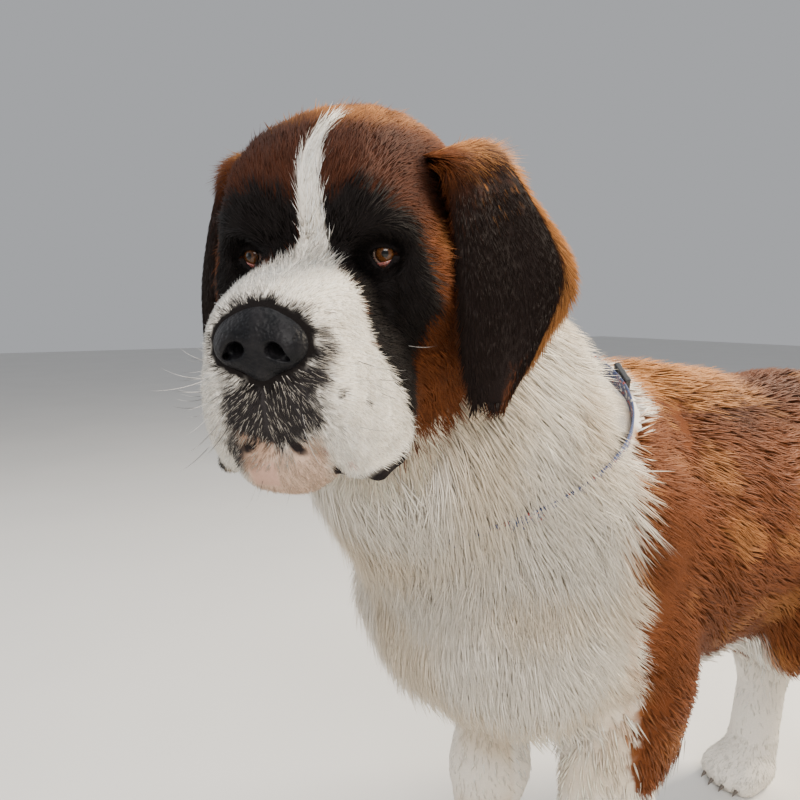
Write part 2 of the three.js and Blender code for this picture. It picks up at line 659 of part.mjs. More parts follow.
// Collar: a flat band pressed into the coat round the neck, and the slider that closes it
const bandAxis = vector(band.normal).normalize();
const bandZero = vector(slider.towards).sub(vector(band.at)).projectOnPlane(bandAxis).normalize();
const bandWay = (i) => bandZero.clone().applyAxisAngle(bandAxis, (i / band.steps) * 2 * Math.PI);
const bandRadii = [...Array(band.steps).keys()].map((i) => {
  const along = (r) => bandWay(i).multiplyScalar(r).add(vector(band.at)).toArray();
  let [low, high] = [20, 260];
  for (let halving = 0; halving < 24; halving++) {
    const r = (low + high) / 2;
    if (coreField(...along(r)) < 0) low = r;
    else high = r;
  }
  return low - band.sunk;
});
const bandSmooth = (i) =>
  [-1, 0, 1].reduce((sum, d) => sum + bandRadii[(i + d + band.steps) % band.steps], 0) / 3;
function ring(width, from, to) {
  const points = [];
  const triangles = [];
  for (let i = 0; i < band.steps; i++) {
    const corners = [[-1, from], [1, from], [1, to], [-1, to]];
    for (const [side, rise] of corners) {
      const p = vector(band.at).addScaledVector(bandWay(i), bandSmooth(i) + rise);
      points.push(...p.addScaledVector(bandAxis, (side * width) / 2).toArray());
    }
    for (let c = 0; c < 4; c++) {
      const [a, b] = [4 * i + c, 4 * i + ((c + 1) % 4)];
      const [d, e] = [a, b].map((v) => (v + 4) % (4 * band.steps));
      triangles.push(a, b, d, b, e, d);
    }
  }
  return { points, triangles };
}
function sliderBox(grow, deeper) {
  const [wide, long, thick] = slider.size;
  const box = new THREE.BoxGeometry(thick + deeper + grow, long + 2 * grow, wide + 7 + 2 * grow);
  box.translate(bandSmooth(0) + band.thick + gap - grow / 2 + (thick + deeper) / 2, 0, 0);
  const axes = new THREE.Matrix4().makeBasis(bandZero, bandAxis.clone().cross(bandZero), bandAxis);
  return solidOfGeometry(box.applyMatrix4(axes.setPosition(...band.at)));
}
const clear = 1.2 * gap;
const collarBand = solidOf(ring(band.width, 0, band.thick));
const collarSlider = sliderBox(0, 0);
const bandGrown = solidOf(ring(band.width + 2 * clear, -clear, band.thick + clear));
const groove = solidOf(ring(band.width + 2 * clear, -clear, 14));
const sliderSpace = sliderBox(clear, 40);

// The locks of each part, from its own roots
function locksOn(mesh, set, allowed, more = {}) {
  const free = (p) => allowed(p) && coatDepth(p.x, p.y, p.z) > set.from;
  return rootsOn(mesh, set.spacing, free).map((root) => {
    const vary = 1 + spread(0.16);
    const shape = { long: set.long * vary, wide: set.wide * (1 + spread(0.14)), turn: spread(0.2) };
    return lockRings(root, { ...shape, lift: 1 - 0.18 * random(), ...more });
  });
}
const sideOf = (point, normal, margin) => (p) => p.clone().sub(vector(point)).dot(vector(normal)) > margin;
const onNeck = sideOf(neckPoint, neckNormal, 6);
const behindHead = (p) => !sideOf(headPoint, headNormal, -16)(p);
const nearSlider = (p) => p.distanceTo(vector(slider.towards)) < 46;
const nearBand = (p) => {
  const along = p.clone().sub(vector(band.at)).dot(bandAxis);
  return along > -band.width * 0.8 && along < band.width * 0.6;
};
const neckLocks = locksOn(
  neckMesh,
  lockSets.neck,
  (p) => onNeck(p) && behindHead(p) && !nearSlider(p) && !nearBand(p),
);
const inBox = (p, [[x0, x1], [y0, y1], [z0, z1]], by = 0) =>
  p.x > x0 - by && p.x < x1 + by && p.y > y0 - by && p.y < y1 + by && p.z > z0 - by && p.z < z1 + by;
const underTail = (p) => p.y > 500 && Math.abs(p.x) < 64;
const nearLegs = (p) => legBoxes.some((box) => inBox(p, box, 44));
const onTorso = (p) =>
  !underTail(p) && !sideOf(neckPoint, neckNormal, -8)(p) && !nearSlider(p) && !nearLegs(p);
const torsoLocks = locksOn(torsoMesh, lockSets.torso, onTorso);
const solidsOf = (locks, grow = 0) => locks.map((rings) => lockSolid(rings, grow));

const neckCore = neckRegion(solidOf(neckMesh)).subtract(groove).subtract(sliderSpace);
const torsoCore = half(solidOf(torsoMesh), neckPoint, neckNormal, -1);
const torsoGrown = half(grown(torsoMesh), neckPoint, neckNormal, -1);
const neckLocksGrown = solidsOf(neckLocks, clear);
const torsoLocksGrown = solidsOf(torsoLocks, clear);
const neckSolid = biggest(
  cutBy(joined([neckCore, ...solidsOf(neckLocks)]), [headGrown, torsoGrown, bandGrown, sliderSpace]),
);
const legRoom = legBoxes.map((box) => boxOf(...box, gap));

// Legs and paws
const [forelegs, thighs, hindlegs, forepaws, hindpaws] = [[], [], [], [], []];
const legsGrown = [];
[1, -1].forEach((s, i) => {
  const within = (side) => (s > 0 ? side : [-side[1], -side[0]]);
  const legGrid = (xs, ys, zs) => [lines(...within(xs), 25), lines(...ys, 27), lines(...zs, 50)];
  const fore = meshOf(coreField, legGrid([8, 214], [-150, 130], [20, 480]));
  const hind = meshOf(coreField, legGrid([4, 214], [230, 720], [20, 530]));
  const [foreBox, hindBox] = legBoxes.slice(2 * i, 2 * i + 2).map((box) => boxOf(...box));
  legsGrown.push(grown(fore).intersect(foreBox), grown(hind).intersect(hindBox));
  const [onFore, onThigh] = legBoxes.slice(2 * i, 2 * i + 2).map((box) => (p) => inBox(p, box, -6));
  const foreLocks = locksOn(fore, lockSets.foreleg, (p) => onFore(p) && p.y > 30 && p.z > 250);
  const thighLocks = locksOn(hind, lockSets.thigh, (p) => onThigh(p) && p.y > 470 && p.z > 300);
  const others = [torsoGrown.subtract(joined([foreBox, hindBox])), ...torsoLocksGrown];
  const cutFore = joined([solidOf(fore).intersect(foreBox), ...solidsOf(foreLocks)]);
  const cutHind = joined([solidOf(hind).intersect(hindBox), ...solidsOf(thighLocks)]);
  forelegs.push(biggest(half(cutBy(cutFore, others), [0, 0, forepawTop], [0, 0, 1])));
  thighs.push(biggest(half(cutBy(cutHind, others), [0, 0, hockTop], [0, 0, 1])));
  const shank = half(solidOf(hind), [0, 0, hockTop], [0, 0, 1], -1);
  hindlegs.push(biggest(half(shank, [0, 0, hindpawTop], [0, 0, 1])));
  const foot = (paw, legX, legSkin, top) => {
    const whole = blend(14, [pawOf(s, legX, paw), legSkin(s)]);
    const across = lines(...within([28, 180]), 12);
    const gridLines = [across, lines(paw.y - 92, paw.y + 84, 20), lines(-34, top + 24, 20)];
    const raw = solidOf(meshOf((x, y, z) => whole(x, y, z) - shortCoat, gridLines));
    return biggest(half(raw.trimByPlane([0, 0, 1], 0), [0, 0, top], [0, 0, 1], -1));
  };
  forepaws.push(foot(forepaw, foreleg.x, forelegOf, forepawTop));
  hindpaws.push(foot(hindpaw, hindleg.x, hindlegOf, hindpawTop));
});
const torso = biggest(
  cutBy(joined([torsoCore.subtract(joined(legRoom)), ...solidsOf(torsoLocks)]), [
    ...neckLocksGrown,
    half(grown(neckMesh), neckPoint, neckNormal, 1),
    ...legsGrown,
    bandGrown,
    sliderSpace,
  ]),
);

// Tail: it hangs behind the thighs, with long locks all round it
const tailDepth = (z) => mix(7, tailCoat, ease((690 - z) / 140));
const tailMesh = meshOf(
  (x, y, z) => tailSkin(x, y, z) - Math.max(shortCoat, 0.5 * tailDepth(z)),
  [lines(-90, 110, 20), lines(500, 780, 20), lines(190, 740, 36)],
);
const tailOut = (p) => {
  const e = 3;
  const f = (dx, dy, dz) => tailSkin(p.x + dx, p.y + dy, p.z + dz);
  return vector([f(e, 0, 0) - f(-e, 0, 0), f(0, e, 0) - f(0, -e, 0), f(0, 0, e) - f(0, 0, -e)]).normalize();
};
function tailWay(p) {
  const far = tailPoints.slice(1, -1).map((q) => p.distanceTo(vector(q)));
  const near = far.indexOf(Math.min(...far)) + 1;
  return vector(tailPoints[near + 1]).sub(vector(tailPoints[near - 1]));
}
const onTail = (p) => p.z < 640 && tailOut(p).y > -0.3;
const tailLocks = rootsOn(tailMesh, lockSets.tail.spacing, onTail).map((root) => {
  const set = lockSets.tail;
  const long = set.long * (1 + spread(0.15));
  const wide = set.wide * (1 + spread(0.15));
  const turn = spread(0.25);
  return lockShape.along.map((t, i) => {
    const up = tailOut(root);
    const way = tailWay(root).projectOnPlane(up).normalize().applyAxisAngle(up, turn);
    const at = root.clone().addScaledVector(way, t * long);
    at.addScaledVector(up, i ? mix(0, 0.5 * tailDepth(root.z), t) : -lockShape.sink);
    return { at, side: way.clone().cross(up), up, half: (lockShape.width[i] * wide) / 2 };
  });
});
const tailOthers = [torsoGrown, ...torsoLocksGrown, ...thighs.map((thigh) => grown(meshOfSolid(thigh)))];
const tailSolid = biggest(cutBy(joined([solidOf(tailMesh), ...solidsOf(tailLocks)]), tailOthers));

const neckGrown = half(grown(neckMesh), headPoint, headNormal, -1);
const jaw = biggest(cutBy(jawRaw, [headGrown, neckGrown]));
const earSolids = bothSides((s) => [
  biggest(cutBy(solidOf(ear(s)), [headGrown, neckGrown, ...neckLocksGrown])),
]);

const toGeometry = ({ points, triangles }) => {
  const geometry = new THREE.BufferGeometry();
  geometry.setAttribute("position", new THREE.Float32BufferAttribute(points, 3));
  geometry.setIndex(triangles);
  geometry.computeVertexNormals();
  return geometry;
};
// Points closer than a few microns become one, and what hangs on by less than that drops off
function welded(solid) {
  const plain = toGeometry(meshOfSolid(solid));
  plain.deleteAttribute("normal");
  return meshOfSolid(biggest(solidOf(meshOfGeometry(plain))));
}

const colours = {
  white: [0xe9e2d6, 0.9],
  rust: [0x8a4a22, 0.9],
  dark: [0x35221a, 0.9],
  leather: [0x171414, 0.45],
  iris: [0x6b3f1c, 0.1],
  webbing: [0x1d3f78, 0.8],
  plastic: [0x141416, 0.5],
};
const nodes = {
  head: [headSolid, "dark"],
  nose: [nose, "leather"],
  lower_jaw: [jaw, "white"],
  eye_left: [eyes[0], "iris"],
  eye_right: [eyes[1], "iris"],
  ear_left: [earSolids[0], "dark"],
  ear_right: [earSolids[1], "dark"],
  neck: [neckSolid, "white"],
  torso: [torso, "rust"],
  foreleg_left: [forelegs[0], "white"],
  foreleg_right: [forelegs[1], "white"],
  forepaw_left: [forepaws[0], "white"],
  forepaw_right: [forepaws[1], "white"],
  thigh_left: [thighs[0], "rust"],
  thigh_right: [thighs[1], "rust"],
  hindleg_left: [hindlegs[0], "white"],
  hindleg_right: [hindlegs[1], "white"],
  hindpaw_left: [hindpaws[0], "white"],
  hindpaw_right: [hindpaws[1], "white"],
  tail: [tailSolid, "rust"],
  collar_band: [collarBand, "webbing"],
  collar_slider: [collarSlider, "plastic"],
};

const group = new THREE.Group();
for (const [name, [solid, colour]] of Object.entries(nodes)) {
  const [color, roughness] = colours[colour];
  const material = new THREE.MeshStandardMaterial({ color, roughness, metalness: 0 });
  const mesh = new THREE.Mesh(toGeometry(welded(solid)), material);
  mesh.name = name;
  group.add(mesh);
}

// The origin is on the floor under the middle of the whole dog
const bounds = new THREE.Box3().setFromObject(group);
const middle = bounds.getCenter(new THREE.Vector3());
group.position.set(-middle.x, -middle.y, -bounds.min.z);

export default group;
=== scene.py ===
import copy
import itertools
import math
from concurrent.futures import ThreadPoolExecutor

import bpy
import numpy as np
import openvdb
from mathutils import Euler, Matrix, Vector


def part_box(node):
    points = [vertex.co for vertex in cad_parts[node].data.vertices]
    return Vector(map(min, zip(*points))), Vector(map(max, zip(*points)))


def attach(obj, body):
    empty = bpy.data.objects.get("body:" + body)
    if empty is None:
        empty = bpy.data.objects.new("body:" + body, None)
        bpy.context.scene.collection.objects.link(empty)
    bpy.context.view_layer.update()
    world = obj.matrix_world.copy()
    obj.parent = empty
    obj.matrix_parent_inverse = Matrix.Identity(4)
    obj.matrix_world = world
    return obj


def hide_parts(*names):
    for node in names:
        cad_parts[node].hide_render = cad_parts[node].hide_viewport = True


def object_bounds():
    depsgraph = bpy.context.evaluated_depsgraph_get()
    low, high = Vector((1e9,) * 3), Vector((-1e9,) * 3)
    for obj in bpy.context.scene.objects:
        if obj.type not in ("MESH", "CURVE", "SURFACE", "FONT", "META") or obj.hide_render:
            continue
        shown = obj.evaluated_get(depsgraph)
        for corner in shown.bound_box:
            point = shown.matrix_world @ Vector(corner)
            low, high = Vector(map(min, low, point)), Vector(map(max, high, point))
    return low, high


# A standing Saint Bernard. Its skin is worked out as a distance field in millimetres, in the same
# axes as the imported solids, with the point under the withers as zero, and moved onto them at the end
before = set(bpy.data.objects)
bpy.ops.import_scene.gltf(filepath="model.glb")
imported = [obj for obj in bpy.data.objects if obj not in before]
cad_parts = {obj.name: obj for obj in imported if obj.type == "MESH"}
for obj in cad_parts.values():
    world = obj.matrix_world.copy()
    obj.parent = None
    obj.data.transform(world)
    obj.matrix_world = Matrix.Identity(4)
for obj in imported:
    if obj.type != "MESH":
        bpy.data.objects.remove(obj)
cadBox = [list(corner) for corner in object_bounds()]
mm = 0.001


def clamp(t):
    return np.clip(t, 0.0, 1.0)


def ease(t):
    t = clamp(t)
    return t * t * (3 - 2 * t)


def mixed(a, b, t):
    return a + (b - a) * t


def unit(v):
    return v / (np.linalg.norm(v, axis=-1, keepdims=True) + 1e-9)


def bothSides(make):
    return [part for s in (1, -1) for part in make(s)]


# The same points, all of them on the left side
def onLeft(points):
    return np.abs(points) * [1, 0, 0] + points * [0, 1, 1]


# What remains of v across the unit direction n
def flattened(v, n):
    return v - (v * n).sum(1, keepdims=True) * n


# Soft noise from a few crossing waves, the same on every run
class Waves:
    def __init__(self, seed, size, count=9):
        draw = np.random.default_rng(seed)
        self.ways = unit(draw.normal(size=(count, 3))).T * draw.uniform(0.6, 1.6, count) * 2 * math.pi / size
        self.phase = draw.uniform(0, 2 * math.pi, count)

    def __call__(self, points):
        return np.sin(points @ self.ways + self.phase).mean(axis=1) * 2.2


# Distance fields, negative inside
def blob(at, radii, turn=(0, 0, 0)):
    spin = np.array(Euler([math.radians(a) for a in turn]).to_matrix(), dtype=np.float32)
    at, radii = np.array(at, np.float32), np.array(radii, np.float32)

    def field(p):
        q = p - at
        if any(turn):
            q = q @ spin
        q = q / radii
        near = np.sqrt((q * q).sum(axis=1))
        q = q / radii
        return near * (near - 1) / np.maximum(np.sqrt((q * q).sum(axis=1)), 1e-6)

    return field


def limb(a, b, ra, rb):
    a, d = np.array(a, np.float32), np.array(b, np.float32) - np.array(a, np.float32)
    dd = float(d @ d)

    def field(p):
        q = p - a
        t = clamp(q @ d / dd)
        q = q - t[:, None] * d
        return np.sqrt((q * q).sum(axis=1)) - (ra + (rb - ra) * t)

    return field


def soft(a, b, k):
    h = np.maximum(k - np.abs(a - b), 0) / k
    return np.minimum(a, b) - h * h * k / 4


def blend(k, fields):
    def field(p):
        total = fields[0](p)
        for other in fields[1:]:
            total = soft(total, other(p), k)
        return total

    return field


def carve(k, base, tools):
    def field(p):
        total = base(p)
        for tool in tools:
            total = -soft(-total, tool(p), k)
        return total

    return field


# Trunk, neck and legs
body = {
    "chest": ([0, 120, 560], [145, 275, 181]),
    "forechest": ([0, -128, 520], [92, 92, 128]),
    "withers": ([0, 15, 680], [48, 120, 60]),
    "loin": ([0, 352, 572], [124, 215, 147]),
    "belly": ([0, 275, 500], [105, 215, 112]),
    "croup": ([0, 442, 598], [118, 132, 119]),
    "forelegX": 101,
    "hindlegX": 92,
    "blend": 55,
    "legBlend": 34,
}
trunk = blend(body["blend"], [
    *[blob(*body[part]) for part in ("chest", "forechest", "withers", "loin", "belly", "croup")],
    *bothSides(lambda s: [
        blob([s * 92, -35, 570], [58, 112, 150], (-12, 0, 0)),  # shoulder
        blob([s * 82, 448, 492], [58, 116, 150], (14, 0, 0)),  # haunch
    ]),
])
neck = blend(60, [
    limb([0, -60, 610], [22, -150, 700], 118, 104),
    limb([22, -150, 700], [66, -245, 800], 104, 88),
    limb([30, -205, 640], [104, -318, 772], 70, 50),
])


def forelegOf(s):
    x = body["forelegX"]
    return blend(body["legBlend"], [
        limb([s * (x - 9), -130, 490], [s * (x + 3), 0, 428], 60, 60),  # upper arm
        limb([s * (x + 5), 2, 420], [s * x, -18, 212], 60, 38),  # forearm
        blob([s * (x + 3), 28, 392], [38, 44, 84], (8, 0, 0)),  # elbow
        blob([s * x, -20, 208], [40, 41, 44]),  # wrist
        limb([s * x, -20, 200], [s * x, -38, 70], 35, 36),  # pastern
    ])


def hindlegOf(s):
    x = body["hindlegX"]
    return blend(body["legBlend"], [
        blob([s * (x - 4), 384, 418], [54, 68, 82], (-20, 0, 0)),
        limb([s * (x - 2), 392, 400], [s * x, 560, 245], 60, 37),  # lower thigh
        blob([s * x, 580, 225], [33, 40, 42]),  # hock
        limb([s * x, 580, 222], [s * x, 556, 66], 33, 35),
    ])


trunkAndLegs = blend(body["blend"], [trunk, neck, forelegOf(1), forelegOf(-1), hindlegOf(1), hindlegOf(-1)])

# The head in its own axes: x to its left, y to the back, z up, from between the eyes
headAt = np.array([171, -383, 866], np.float32)
headTurn = Matrix.Rotation(math.radians(45), 3, "Z") @ Matrix.Rotation(math.radians(8), 3, "X")
headSpin = np.array(headTurn, dtype=np.float32)


def toHead(points):
    return (points - headAt) @ headSpin


def fromHead(points):
    return points @ headSpin.T + headAt


skull = blend(26, [
    blob([0, 74, 22], [74, 88, 66]),
    blob([0, 66, 50], [60, 66, 42]),
    blob([0, 112, 42], [72, 60, 52]),
    *bothSides(lambda s: [
        blob([s * 27, 10, 42], [32, 36, 30]),
        blob([s * 42, -2, 22], [22, 16, 12], (0, s * 18, 0)),
        blob([s * 60, 46, -24], [30, 55, 42]),
        blob([s * 52, 76, -58], [32, 48, 46]),
    ]),
])
muzzle = blend(18, bothSides(lambda s: [
    limb([s * 16, -4, -22], [s * 14, -84, -42], 24, 22),
    blob([s * 22, -48, -66], [24, 50, 42]),
    blob([s * 35, -52, -94], [20, 40, 42], (0, s * -8, 0)),
    blob([s * 44, -20, -94], [17, 40, 42], (0, s * -6, 0)),
    blob([s * 17, -86, -80], [20, 18, 30]),
]))
headFlesh = carve(10, blend(22, [skull, muzzle]), [limb([0, -14, 14], [0, 30, 78], 2, 5)])
jawFlesh = blend(16, [
    limb([0, -76, -119], [0, 0, -112], 25, 30),
    *bothSides(lambda s: [limb([s * 15, -82, -121], [s * 24, -20, -114], 16, 18)]),
])


def headInBody(p):
    near = np.linalg.norm(p - headAt, axis=1) < 330
    out = np.full(len(p), 200, np.float32)
    if near.any():
        out[near] = headFlesh(toHead(p[near]))
    return out


flesh = blend(40, [trunkAndLegs, headInBody])

# How deep the coat lies, over a short base
coat = {
    "short": 7,
    "coreShare": 0.5,
    "underShare": 0.5,
    "lift": 1.5,
    "long": [
        ([30, -170, 700], [150, 150, 150], 34),
        ([20, -200, 560], [130, 110, 170], 30),
        ([0, 180, 590], [220, 400, 200], 7),
        ([0, 60, 760], [60, 150, 50], 17),
        ([0, 560, 500], [150, 70, 170], 33),
        ([0, 170, 370], [80, 200, 36], 22),
        ([101, 82, 350], [34, 30, 60], 24),
        ([-101, 82, 350], [34, 30, 60], 24),
    ],
}


def coatDepth(p):
    depth = np.full(len(p), coat["short"], np.float32)
    for at, reach, more in coat["long"]:
        far = np.linalg.norm((p - np.array(at)) / np.array(reach), axis=1)
        depth = np.maximum(depth, coat["short"] + more * ease(2 - far))
    return depth


def coreDepth(p):
    return np.maximum(coat["short"], coat["coreShare"] * coatDepth(p))


# The skin's surface stands for the dense underfur
def underDepth(p):
    return coat["underShare"] * coreDepth(p) + coat["lift"]


# A field kept on a grid, for meshing and for finding depths and slopes quickly
def evaluated(field, points, chunk=60000):
    parts = [points[i:i + chunk] for i in range(0, len(points), chunk)]
    with ThreadPoolExecutor(4) as pool:
        return np.concatenate(list(pool.map(field, parts)))


class Volume:
    def __init__(self, field, low, high, step):
        self.low, self.step = np.array(low, np.float32), step
        count = [int((b - a) / step) + 2 for a, b in zip(low, high)]
        axes = [a + step * np.arange(n, dtype=np.float32) for a, n in zip(low, count)]
        self.points = np.stack(np.meshgrid(*axes, indexing="ij"), -1).reshape(-1, 3)
        self.values = evaluated(field, self.points).reshape(count).astype(np.float32)
        self.slope = np.stack(np.gradient(self.values, step), -1)

    def read(self, grid, points):
        spots = (points - self.low) / self.step
        spots = np.clip(spots, 0, np.array(grid.shape[:3]) - 1.001)
        base = spots.astype(int)
        part = spots - base
        out = 0
        for corner in itertools.product((0, 1), repeat=3):
            weight = np.prod(np.where(corner, part, 1 - part), axis=1)
            taken = grid[tuple((base + corner).T)]
            out = out + (weight[:, None] * taken if taken.ndim > 1 else weight * taken)
        return out

    def depth(self, points):
        return self.read(self.values, points)

    def normal(self, points):
        return unit(self.read(self.slope, points))

    def mesh(self, extra=None):
        values = self.values if extra is None else extra.reshape(self.values.shape)
        values = values.astype(np.float32).copy()
        # the grid's rim counts as outside, so that every mesh is closed
        for axis in range(3):
            rim = np.moveaxis(values, axis, 0)
            rim[0], rim[-1] = np.maximum(rim[0], 0.3), np.maximum(rim[-1], 0.3)
        grid = openvdb.FloatGrid(3.0)
        grid.copyFromArray(np.clip(values, -30, 30))
        points, quads = grid.convertToQuads(0.0)
        return self.low + points * self.step, quads.astype(np.int64)


# The frame's shift from the withers, found from the slider of the collar
band = {
    "at": np.array([25, -160, 715.0]),
    "axis": unit(np.array([0.433, -0.39, 0.813])),
    "towards": np.array([101, -5, 758.0]),
    "steps": 24,
    "width": 20,
    "thick": 3,
    "sunk": 2,
    "gap": 0.3,
    "reach": (20.0, 260.0),  # between which the neck's surface is sought, from the strap's middle
    "slider": (17, 30, 8),
    "stations": 180,
    "proud": 1.4,
}
bandZero = band["towards"] - band["at"]
bandZero = unit(bandZero - (bandZero @ band["axis"]) * band["axis"])
bandSide = np.cross(band["axis"], bandZero)


def bandWays(angles):
    return np.cos(angles)[:, None] * bandZero + np.sin(angles)[:, None] * bandSide


def bandRadii(angles):
    ways = bandWays(angles)
    low, high = (np.full(len(angles), reach) for reach in band["reach"])
    for halving in range(24):
        middle = (low + high) / 2
        at = (band["at"] + middle[:, None] * ways).astype(np.float32)
        inside = flesh(at) - coreDepth(at) < 0
        low, high = np.where(inside, middle, low), np.where(inside, high, middle)
    return low - band["sunk"]


bandStep = 2 * math.pi / band["steps"]
bandRoot = bandRadii(np.array([-bandStep, 0, bandStep])).mean()
sliderMiddle = band["at"] + bandZero * (bandRoot + band["thick"] + band["gap"] + band["slider"][2] / 2)
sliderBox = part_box("collar_slider")
shift = (np.array(sliderBox[0]) + np.array(sliderBox[1])) / 2 - sliderMiddle * mm
print("the withers stand at", shift.round(4), "in the frame")


def toFrame(points):
    return points * mm + shift


# Camera and light. The camera's place is in metres from the point under the withers
photo = {"lens": 33.3, "at": (0.658, -0.600, 0.83), "forward": (-0.866, 0.5), "down": 7.3}


def makeCamera():
    down = math.radians(photo["down"])
    ahead = Vector((*[v * math.cos(down) for v in photo["forward"]], -math.sin(down)))
    camera = bpy.data.objects.new("camera", bpy.data.cameras.new("camera"))
    camera.data.lens = photo["lens"]
    camera.data.sensor_width = 36
    camera.location = Vector(photo["at"]) + Vector(shift)
    camera.rotation_euler = ahead.to_track_quat("-Z", "Y").to_euler()
    bpy.context.collection.objects.link(camera)
    bpy.context.scene.camera = camera


lights = {
    "window": {"at": (2.6, -1.6, 2.6), "size": 2.0, "power": 135, "colour": (1.0, 0.97, 0.93)},
    "side": {"at": (-1.6, -2.6, 1.7), "size": 2.6, "power": 40, "colour": (0.95, 0.97, 1.0)},
    "top": {"at": (0.2, 0.4, 3.4), "size": 2.6, "power": 60, "colour": (1.0, 0.99, 0.97)},
    "rim": {"at": (0.4, 2.4, 2.2), "size": 1.0, "power": 230, "colour": (1.0, 0.88, 0.70)},
}
studio = {"aim": (0, 0, 0.6), "colour": (0.86, 0.88, 0.92, 1), "strength": 0.5}


def makeLights():
    for name, light in lights.items():
        data = bpy.data.lights.new(name, "AREA")
        data.size, data.energy, data.color = light["size"], light["power"], light["colour"]
        lamp = bpy.data.objects.new(name, data)
        lamp.location = light["at"]
        lamp.rotation_euler = (Vector(studio["aim"]) - lamp.location).to_track_quat("-Z", "Y").to_euler()
        bpy.context.collection.objects.link(lamp)
    world = bpy.data.worlds.new("studio")
    world.use_nodes = True
    background = world.node_tree.nodes["Background"]
    background.inputs["Color"].default_value = studio["colour"]
    background.inputs["Strength"].default_value = studio["strength"]
    bpy.context.scene.world = world


makeCamera()
makeLights()


# Node trees: a socket that takes part in plain maths, and one method for any other node
class Value:
    def __init__(self, tree, socket):
        self.tree, self.socket = tree, socket

    def maths(self, operation, *others):
        return self.tree.add("ShaderNodeMath", {"operation": operation}, dict(enumerate((self, *others))))

    def __add__(self, other):
        return self.maths("ADD", other)

    def __radd__(self, other):
        return self.maths("ADD", other)

    def __sub__(self, other):
        return self.maths("SUBTRACT", other)

    def __rsub__(self, other):
        return self.maths("MULTIPLY_ADD", -1.0, other)

    def __mul__(self, other):
        return self.maths("MULTIPLY", other)

    def __rmul__(self, other):
        return self.maths("MULTIPLY", other)

    def __pow__(self, other):
        return self.maths("POWER", other)

    def between(self, low, high):
        return self.tree.add("ShaderNodeMapRange", {"interpolation_type": "SMOOTHSTEP"}, {
            "Value": self, "From Min": low, "From Max": high,
        })


class Tree:
    def __init__(self, tree):
        self.tree = tree

    def feed(self, socket, given):
        if isinstance(given, Value):
            self.tree.links.new(given.socket, socket)
        else:
            socket.default_value = given

    def add(self, kind, settings=None, inputs=None, output=0):
        node = self.tree.nodes.new(kind)
        for name, setting in (settings or {}).items():
            setattr(node, name, setting)
        for name, given in (inputs or {}).items():
            self.feed(node.inputs[name], given)
        return Value(self, node.outputs[output])

    def mixColour(self, factor, a, b, way="MIX"):
        node = self.tree.nodes.new("ShaderNodeMix")
        node.data_type, node.blend_type = "RGBA", way
        for place, given in ((0, factor), (6, a), (7, b)):  # the colour sockets of a node with several kinds
            self.feed(node.inputs[place], given)
        return Value(self, node.outputs[2])

    def noise(self, scale, detail=2.0, stretch=None):
        where = self.add("ShaderNodeTexCoord", output="Object")
        if stretch:
            where = self.add("ShaderNodeMapping", None, {"Vector": where, "Scale": stretch})
        return self.add("ShaderNodeTexNoise", None, {"Vector": where, "Scale": scale, "Detail": detail})

    def attribute(self, name, output="Color"):
        return self.add("ShaderNodeAttribute", {"attribute_name": name}, output=output)

    def bump(self, height, strength, distance):
        return self.add("ShaderNodeBump", None, {
            "Height": height, "Strength": strength, "Distance": distance,
        })


def finish(name, colour, **sockets):
    material = bpy.data.materials.new(name)
    material.use_nodes = True
    tree = Tree(material.node_tree)
    shader = material.node_tree.nodes["Principled BSDF"]
    for socket, given in {"Base Color": colour, **sockets}.items():
        tree.feed(shader.inputs[socket.replace("_", " ")], given(tree) if callable(given) else given)
    return material


# Colour, roughness and relief that vary with a noise
def mottled(low, high, scale, detail, edges=None, stretch=None):
    def colour(t):
        share = t.noise(scale, detail, stretch)
        return t.mixColour(share.between(*edges) if edges else share, (*low, 1), (*high, 1))

    return colour


def rough(low, more, scale, detail):
    return lambda t: low + more * t.noise(scale, detail)


def grain(scale, detail, strength, distance, stretch=None):
    return lambda t: t.bump(t.noise(scale, detail, stretch), strength, distance)


def hairColour(tree):
    streak = tree.noise(420, 3)
    shade = 0.85 + 0.3 * streak
    grey = tree.add("ShaderNodeCombineColor", None, {"Red": shade, "Green": shade, "Blue": shade})
    return tree.mixColour(1.0, tree.attribute("tint"), grey, "MULTIPLY")


def pebbled(t):
    where = t.add("ShaderNodeTexCoord", output="Object")
    cells = t.add("ShaderNodeTexVoronoi", {"feature": "SMOOTH_F1"}, {"Vector": where, "Scale": 480.0})
    return t.bump(cells, 0.8, 0.0011)


